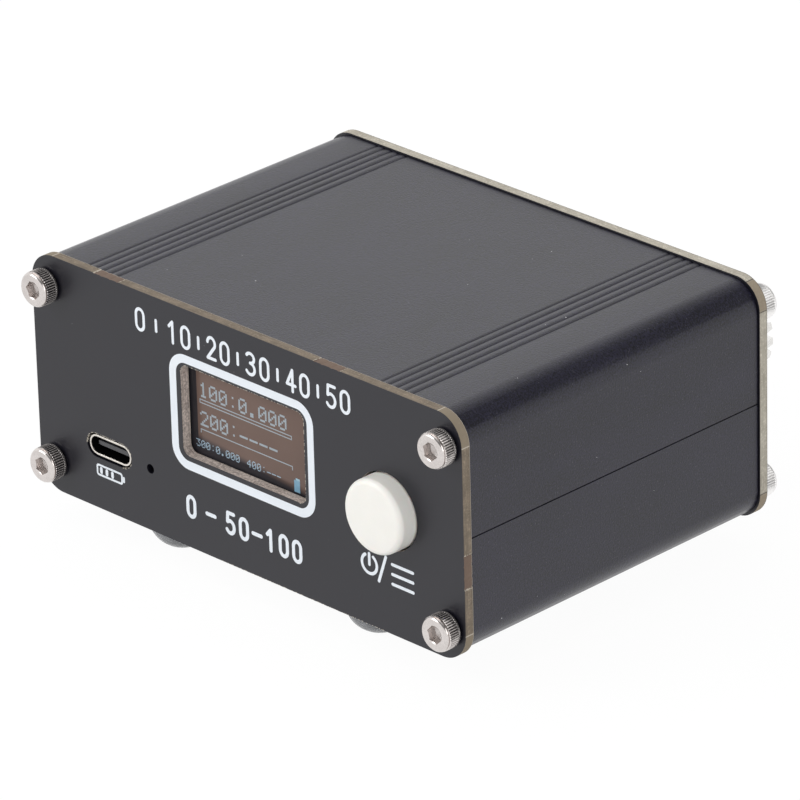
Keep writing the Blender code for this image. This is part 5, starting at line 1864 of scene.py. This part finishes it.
@dataclass
class CapScrews:
    """Eight socket-head cap screws with knurled heads."""

    head_radius: float = 2.75 * MM
    head_height: float = 2.7 * MM
    knurls: int = 45
    knurl_depth: float = 0.15 * MM
    band: Point = (0.4 * MM, 2.12 * MM)
    key: float = 2.5 * MM
    key_depth: float = 1.5 * MM
    shank: float = 1.4 * MM
    root: float = 1.18 * MM
    thread: float = 0.5 * MM
    length: float = 10.0 * MM
    overlap: float = 0.4 * MM
    neck: float = 1.0 * MM
    tip: float = 0.6 * MM
    crease: float = 28.0
    turns: Mapping[str, float] = field(default_factory=lambda: {
        "front_top_left": 25.0, "front_top_right": 12.0, "front_bottom_left": 5.0,
        "front_bottom_right": 17.0, "rear_top_left": 8.0, "rear_top_right": 21.0,
        "rear_bottom_left": 14.0, "rear_bottom_right": 2.0,
    })

    def build(self) -> None:
        """One screw's form, copied to its eight places."""
        screw = Form().stacked(self._head_rings(), self.knurls * 4)
        screw.with_copy_of(Form().turned(self._shank_profile(), 28))
        front, rear = Box.of("front_panel"), Box.of("rear_panel")
        corner = Box.of("front_screw_top_right").middle
        middle = ((front.low + rear.high) / 2).to_tuple()
        out = (rear.high.y - front.low.y) / 2
        knurling = Knurling(
            middle=middle, axis=(corner.x - middle[0], corner.z - middle[2]),
            band=(out + self.band[0], out + self.band[1]), crest=self.head_radius,
        )
        finishes = {
            Facing.FRONT: Plating("nickel_plate", "plated_steel", knurling=knurling),
            # Painted light: the rear screws have the same plating, painted paler for the bright
            # light on them.
            Facing.REAR: Plating(
                "nickel_plate_painted_lighter", "plated_steel", colour=(0.93, 0.92, 0.91),
                dull=(0.88, 0.87, 0.86), roughness=0.42,
            ),
        }
        for end, facing in (("front", Facing.FRONT), ("rear", Facing.REAR)):
            for place in ("top_left", "top_right", "bottom_left", "bottom_right"):
                node = f"{end}_screw_{place}"
                box = Box.of(node)
                seat = box.low.y + self.head_height
                if facing is Facing.REAR:
                    seat = box.high.y - self.head_height
                form = Form().with_copy_of(screw).spun(self.turns[f"{end}_{place}"])
                form.moved((box.middle.x, seat, box.middle.z), facing)
                form.piece(f"cap_screw_{end}_{place}", finishes[facing], node, crease=self.crease)
        screw.mesh.free()

    def _knurl(self, angle: float) -> float:
        """The radius of the knurled band, with a groove for every four steps."""
        step = round(angle / (2 * math.pi) * self.knurls * 4) % 4
        return self.head_radius - self.knurl_depth * (0.0, 0.5, 1.0, 0.5)[step]

    def _key(self, angle: float) -> float:
        """The radius of the key's hexagon."""
        return hexagon_radius(self.key, angle)

    def _head_rings(self) -> list[tuple[Along, Along]]:
        """The head, from the middle of its underside over its top and into its socket.

        Returns:
            The radius and height of each ring.
        """
        radius, top = self.head_radius, self.head_height
        collar = radius - 0.45 * self.knurl_depth
        mouth = self.key / 2 / math.cos(math.pi / 6) + 0.02 * MM

        def countersunk(angle: float) -> float:
            """The height of the hexagon's edge in its countersink."""
            return top - 0.03 * MM - 0.6 * (mouth - self._key(angle))

        return [
            (0.4 * radius, 0.0),
            (collar - 0.15 * MM, 0.0),
            (collar, 0.1 * MM),
            (collar, 0.32 * MM),
            (self._knurl, self.band[0]),
            (self._knurl, 2.06 * MM),
            (collar, self.band[1]),
            (collar, 2.26 * MM),
            (radius - 0.22 * MM, 2.28 * MM),
            (radius - 0.22 * MM, 2.35 * MM),
            (radius - 0.12 * MM, 2.39 * MM),
            (radius - 0.15 * MM, 2.46 * MM),
            (radius - 0.36 * MM, top - 0.02 * MM),
            (radius - 0.42 * MM, top),
            (mouth + 0.1 * MM, top),
            (mouth, top - 0.03 * MM),
            (self._key, countersunk),
            (self._key, top - 0.5 * MM),
            (self._key, top - self.key_depth),
            (0.6 * MM, top - self.key_depth - 0.3 * MM),
            (0.1 * MM, top - self.key_depth - 0.5 * MM),
        ]

    def _shank_profile(self) -> Outline:
        """The threaded shank, which starts inside the head.

        Returns:
            Points of (radius, height).
        """
        profile = [(0.0, self.overlap), (self.root, self.overlap), (self.root, -self.neck)]
        for turn in range(int((self.length - self.neck - self.tip) / self.thread)):
            start = -self.neck - turn * self.thread
            profile += [
                (self.shank, start - 0.45 * self.thread),
                (self.shank, start - 0.58 * self.thread),
                (self.root, start - self.thread),
            ]
        return [*profile, (self.root - 0.25 * MM, -self.length), (0.0, -self.length)]


@dataclass
class Feet:
    """Four clear domed feet."""

    flat: float = 1.5 * MM
    finish: Finish = ClearRubber("clear_rubber", "grey_rubber")

    def build(self) -> None:
        """A smooth dome for each foot."""
        for place in ("front_left", "front_right", "rear_left", "rear_right"):
            node = f"foot_{place}"
            box = Box.of(node)
            radius, height = box.size.x / 2, box.size.z
            start = math.degrees(math.acos(self.flat / radius))
            dome = arc_points((0.0, 0.0), radius, start, 0.0, 20)
            lift = height / dome[0][1]
            profile = [(0.0, height), (0.6 * self.flat, height), *((r, h * lift) for r, h in dome)]
            form = Form().turned([*profile, (0.0, 0.0)], 64)
            form.moved((box.middle.x, box.middle.y, box.high.z), Facing.DOWN)
            form.piece(f"domed_{node}", self.finish, node, crease=60.0)


@dataclass
class CoaxialSockets:
    """The two threaded coaxial sockets in the rear plate, with their nuts and washers."""

    sides: int = 160
    teeth: int = 20
    tooth_depth: float = 1.5 * MM
    outer: float = 7.94 * MM
    bore: float = 6.2 * MM
    bore_depth: float = 12.3 * MM
    step: float = 4.2 * MM
    flange: float = 10.2 * MM
    flange_thickness: float = 2.6 * MM
    neck: float = 5.5 * MM
    neck_length: float = 2.0 * MM
    pitch: float = 1.058 * MM
    thread_depth: float = 0.5 * MM
    thread_start: float = 2.2 * MM
    thread_steps: int = 8
    thread_run: float = 0.6
    thread_slope: float = 2.6
    thread_flat: float = 0.22
    contact_bore: float = 2.9 * MM
    insulator_sides: int = 72
    nut_flats: float = 19.0 * MM
    nut_turned: float = 0.506
    nut_sides: int = 120
    gap: float = 0.3 * MM
    chamfer: float = 0.3 * MM
    lead_in: float = 0.25 * MM
    edge: float = 0.1 * MM
    crease: float = 24.0
    nickel: Finish = Plating(
        "socket_nickel", "plated_steel", colour=(0.86, 0.85, 0.83), dull=(0.74, 0.73, 0.71),
        roughness=0.26,
    )
    ivory: Finish = Moulding(
        "socket_insulation", "white_insulator", colour=(0.8, 0.79, 0.76), roughness=0.4, scatter=0.1
    )
    brass: Finish = Plating(
        "contact_brass", "gold_brass", colour=(0.83, 0.61, 0.28), dull=(0.68, 0.48, 0.2),
        roughness=0.22,
    )

    def build(self) -> None:
        """Both sockets, and what holds them."""
        for name in ("input", "antenna"):
            box = Box.of(f"{name}_socket")
            rim = Vector((box.middle.x, box.high.y, box.middle.z))
            self._build_body(name, rim)
            self._build_insulator(name, rim)
            contact = Form.of_node(f"{name}_contact").eased(0.07 * MM, 2)
            contact.piece(f"{name}_centre_contact", self.brass, f"{name}_contact")
            self._build_nut(name)
            washer = Form.of_node(f"{name}_washer").eased(0.08 * MM, 2)
            washer.piece(f"{name}_lock_washer", self.nickel, f"{name}_washer")

    def _notched(self, low: float, high: float) -> Callable[[float], float]:
        """A height that drops into the notches of the rim.

        Args:
            low: The height in a notch.
            high: The height on a tooth.

        Returns:
            The height at each angle.
        """
        per_tooth = self.sides // self.teeth

        def height(angle: float) -> float:
            """The height at this angle."""
            step = round(angle / (2 * math.pi) * self.sides) % per_tooth
            return low if step >= per_tooth / 2 else high

        return height

    def _thread(self, height: float, end: float) -> Callable[[float], float]:
        """The radius of the thread at one height.

        Args:
            height: The height, from the rim.
            end: Where the thread ends.

        Returns:
            The radius at each angle.
        """
        run = self.thread_run * self.pitch
        fade = min(1.0, max(0.0, min(-height - self.thread_start, height - end) / run))

        def radius(angle: float) -> float:
            """A V thread with a small flat on its crest.

            Args:
                angle: The angle round the axis, in radians.

            Returns:
                The radius there.
            """
            turn = (height / self.pitch + angle / (2 * math.pi)) % 1.0
            slope = self.thread_slope * abs(turn - 0.5)
            depth = min(1.0, max(0.0, slope - self.thread_flat))
            return self.outer - self.thread_depth * depth * fade

        return radius

    def _build_body(self, name: str, rim: Vector) -> None:
        """The socket's metal body, from the step in its bore over the rim and round the flange.

        Args:
            name: Which socket.
            rim: The middle of its rim.
        """
        face = Box.of("rear_panel").low.y - self.gap - rim.y
        back = face - self.flange_thickness
        end = back - self.neck_length
        depth = self.tooth_depth
        rings: list[tuple[Along, Along]] = [
            (self.step, end),
            (self.step, -self.bore_depth),
            (self.bore, -self.bore_depth),
            (self.bore, -depth - 0.12 * MM),
            (self.bore, self._notched(-depth, -0.08 * MM)),
            (self.bore + 0.08 * MM, self._notched(-depth, 0.0)),
            (self.outer - self.chamfer, self._notched(-depth, 0.0)),
            (self.outer - 0.02 * MM, self._notched(-depth - 0.02 * MM, -self.chamfer)),
            (self.outer, -depth - 0.15 * MM),
        ]
        step = self.pitch / self.thread_steps
        for index in range(int((-face - self.thread_start) / step)):
            height = -self.thread_start + 0.2 * MM - index * step
            rings.append((self._thread(height, face + 0.4 * MM), height))
        rings += [
            (self.outer, face),
            (self.flange - self.edge, face),
            (self.flange, face - self.edge),
            (self.flange, back + self.edge),
            (self.flange - self.edge, back),
            (self.neck, back),
            (self.neck, end),
            rings[0],
        ]
        form = Form().stacked(rings, self.sides).moved(rim, Facing.REAR)
        form.piece(f"{name}_threaded_socket", self.nickel, f"{name}_socket", crease=self.crease)

    def _build_insulator(self, name: str, rim: Vector) -> None:
        """The insulator, with its eased front edges.

        Args:
            name: Which socket.
            rim: The middle of the socket's rim.
        """
        box = Box.of(f"{name}_insulator")
        front, rear = box.high.y - rim.y, box.low.y - rim.y
        head, shank = self.bore - self.gap, self.step - self.gap
        shoulder = self.gap - self.bore_depth
        profile = [
            (self.contact_bore, front - self.edge),
            (self.contact_bore + self.edge, front),
            (head - self.lead_in, front),
            (head, front - self.lead_in),
            (head, shoulder),
            (shank, shoulder),
            (shank, rear),
            (self.contact_bore, rear),
            (self.contact_bore, front - self.edge),
        ]
        form = Form().turned(profile, self.insulator_sides).moved(rim, Facing.REAR)
        form.piece(f"{name}_white_insulator", self.ivory, f"{name}_insulator")

    def _build_nut(self, name: str) -> None:
        """The hexagon nut, its corners turned off at thirty degrees on both faces.

        Args:
            name: Which socket.
        """
        box = Box.of(f"{name}_nut")
        thick, hole = box.size.y, self.outer + self.gap
        turned = self.nut_turned * self.nut_flats

        def hexagon(angle: float) -> float:
            """The radius of the nut's flats."""
            return hexagon_radius(self.nut_flats, angle)

        def face(angle: float) -> float:
            """The radius of the flat face's edge."""
            return min(hexagon(angle), turned)

        def drop(angle: float) -> float:
            """How far the edge lies below the flat face."""
            return max(0.0, hexagon(angle) - turned) * math.tan(math.radians(30.0))

        rings: list[tuple[Along, Along]] = [
            (hole, self.chamfer - thick),
            (hole + self.lead_in, -thick),
            (face, -thick),
            (hexagon, lambda angle: drop(angle) - thick),
            (hexagon, lambda angle: -drop(angle)),
            (face, 0.0),
            (hole + self.lead_in, 0.0),
            (hole, -self.chamfer),
        ]
        form = Form().stacked([*rings, rings[0]], self.nut_sides)
        form.moved((box.middle.x, box.high.y, box.middle.z), Facing.REAR)
        form.piece(f"{name}_hexagon_nut", self.nickel, f"{name}_nut", crease=self.crease)


@dataclass
class Inside:
    """What the case hides, which keeps the CAD's shapes."""

    boards: tuple[str, ...] = ("main_board", "control_board", "coupler_board", "display_board")
    coat: Colour = (0.018, 0.085, 0.045)
    core: Colour = (0.36, 0.32, 0.2)
    moulded: tuple[tuple[Moulding, tuple[str, ...]], ...] = (
        (
            Moulding("black_moulding", "black_plastic", colour=(0.02, 0.02, 0.022), roughness=0.42),
            (
                "control_header", "coupler_header", "display_header", "switch_body",
                "switch_plunger", "microcontroller", "charger_chip", "voltage_regulator",
                "battery_lead_black",
            ),
        ),
        (Moulding("red_insulation", "red_lead", colour=(0.5, 0.02, 0.015)), ("battery_lead_red",)),
        (Moulding("plug_white", "white_plastic", colour=(0.75, 0.73, 0.66)), ("battery_plug",)),
        (
            Moulding("light_lens", "white_plastic", colour=(0.045, 0.045, 0.045), roughness=0.2),
            ("charge_light",),
        ),
        (
            Moulding("trimmer_blue", "black_plastic", colour=(0.02, 0.06, 0.3)),
            ("balance_trimmer",),
        ),
        (
            Moulding(
                "ferrite_grey", "ferrite", colour=(0.07, 0.07, 0.075), roughness=0.6, mottle=0.2,
                grain_depth=0.02 * MM,
            ),
            ("current_core",),
        ),
        (
            Moulding("diode_black", "black_plastic", colour=(0.03, 0.03, 0.032), roughness=0.3),
            ("forward_diode", "reflected_diode"),
        ),
    )

    def build(self) -> None:
        """Every piece behind the plates, in its own finish."""
        for board in self.boards:
            box = Box.of(board)
            axis = min(range(3), key=lambda index: box.size[index])
            Laminate(
                f"{board}_laminate", "green_board", axis=axis, low=box.low[axis],
                high=box.high[axis], coat=self.coat, coat_roughness=0.35, core=self.core,
                core_shade=shade(self.core, 0.6), dust_share=0.0,
            ).on_nodes(board)
        for moulding, nodes in self.moulded:
            moulding.on_nodes(*nodes)
        enamel = Plating(
            "enamelled_copper", "copper_wire", colour=(0.72, 0.3, 0.13), dull=(0.5, 0.18, 0.07),
            roughness=0.28,
        )
        enamel.on_nodes("current_winding", "through_line")
        Foil("silver_foil", "silver_pouch").on_nodes("battery_cell")


@dataclass(frozen=True)
class Lamp:
    """A square lamp that points at the object."""

    name: str
    place: Place
    size: float
    power: float
    aim: Place = (0.0, 0.0, 0.02)

    def build(self) -> None:
        """Hangs the lamp in its place."""
        data = bpy.data.lights.new(self.name, "AREA")
        data.shape = "SQUARE"
        data.size = self.size
        data.energy = self.power
        lamp = bpy.data.objects.new(self.name, data)
        turn = (Vector(self.aim) - Vector(self.place)).to_track_quat("-Z", "Y")
        lamp.matrix_world = Matrix.Translation(self.place) @ turn.to_matrix().to_4x4()
        bpy.context.scene.collection.objects.link(lamp)


@dataclass
class Studio:
    """The floor, the light and the camera of the picture.

    The room's shade goes by height: wall is where the pale wall ends, and ceiling where the
    ceiling starts and is full. room_levels are the light of the band between them, what the wall
    adds to it and what the ceiling adds.
    """

    floor_half: float = 6.0
    floor_share: float = 0.94
    floor_paint: Colour = (0.82, 0.82, 0.82)
    white: Colour = (1.0, 1.0, 1.0)
    white_level: float = 1.02
    room_tilt: float = 0.3
    room_levels: tuple[float, float, float] = (0.2, 0.88, 0.5)
    wall: Point = (0.62, 0.44)
    ceiling: Point = (0.74, 0.95)
    lamps: tuple[Lamp, ...] = (
        Lamp("overhead", (-0.25, 0.15, 1.1), 0.9, 3.5),
        Lamp("front_left", (-0.7, -0.9, 0.7), 0.7, 5.5),
        Lamp("right", (1.1, -0.35, 0.5), 0.7, 3.5),
    )
    camera_place: Place = (0.6595356, -0.6536063, 0.4535190)
    camera_turn: Place = (1.89870408, 0.7677153, -0.52019053)
    focal_pixels: float = 6979.593
    picture_pixels: float = 800.0
    sensor: float = 36.0

    def build(self) -> None:
        """Everything that isn't part of the object."""
        self._build_floor()
        self._build_room()
        for lamp in self.lamps:
            lamp.build()
        self._build_camera()
        bpy.context.scene.view_settings.view_transform = "Standard"

    def _build_floor(self) -> None:
        """A wide white floor that keeps a faint shadow."""
        grid = bmesh.new()
        bmesh.ops.create_grid(grid, x_segments=1, y_segments=1, size=self.floor_half)
        mesh = bpy.data.meshes.new("floor")
        grid.to_mesh(mesh)
        grid.free()
        floor = bpy.data.objects.new("floor", mesh)
        bpy.context.scene.collection.objects.link(floor)
        material = bpy.data.materials.new("floor_white")
        material.use_nodes = True
        shader = Shader(material.node_tree)
        rays = shader.node("ShaderNodeLightPath")
        shown = (self.floor_share * rays["Is Camera Ray"]).most(rays["Is Glossy Ray"])
        shown = shown.most(rays["Is Transmission Ray"])
        paint = shader.node("ShaderNodeBsdfDiffuse", {"Color": self.floor_paint})
        glow = {"Color": self.white, "Strength": self.white_level}
        white = shader.node("ShaderNodeEmission", glow)
        inputs = {0: shown, 1: paint["BSDF"], 2: white["Emission"]}
        both = shader.node("ShaderNodeMixShader", inputs)
        shader.node("ShaderNodeOutputMaterial", {"Surface": both["Shader"]})
        mesh.materials.append(material)

    def _build_room(self) -> None:
        """A pale room with a darker band between its walls and its ceiling."""
        world = bpy.data.worlds.new("studio")
        bpy.context.scene.world = world
        world.use_nodes = True
        shader = Shader(world.node_tree)
        place = shader.node("ShaderNodeTexCoord")["Generated"]
        parts = shader.node("ShaderNodeSeparateXYZ", {"Vector": place})
        wall = (parts["Z"] + self.room_tilt * parts["X"]).rise(*self.wall)
        ceiling = parts["Z"].rise(*self.ceiling)
        band, wall_level, ceiling_level = self.room_levels
        level = band + wall_level * wall + ceiling_level * ceiling * (1.0 - wall)
        back = shader.node("ShaderNodeBackground", {"Color": self.white, "Strength": level})
        shader.node("ShaderNodeOutputWorld", {"Surface": back["Background"]})

    def _build_camera(self) -> None:
        """The camera, at the picture's own angle and lens."""
        data = bpy.data.cameras.new("camera")
        data.sensor_width = self.sensor
        data.lens = self.focal_pixels / self.picture_pixels * self.sensor
        camera = bpy.data.objects.new("camera", data)
        axis = Vector(self.camera_turn)
        to_lens = Matrix.Rotation(axis.length, 3, axis)
        looking = to_lens.transposed() @ Matrix.Diagonal((1.0, -1.0, -1.0))
        camera.matrix_world = Matrix.Translation(self.camera_place) @ looking.to_4x4()
        bpy.context.scene.collection.objects.link(camera)
        bpy.context.scene.camera = camera


def main() -> None:
    """Builds the sub-assemblies in order."""
    logging.basicConfig(level=logging.INFO, format="%(message)s")
    assemblies = (
        SplitCase(), EndPlates(), Printing(), Display(), ChargingPort(), PushButton(),
        CapScrews(), Feet(), CoaxialSockets(), Inside(), Studio(),
    )
    for assembly in assemblies:
        log.info("Building %s", type(assembly).__name__)
        assembly.build()


if __name__ == "__main__":
    main()
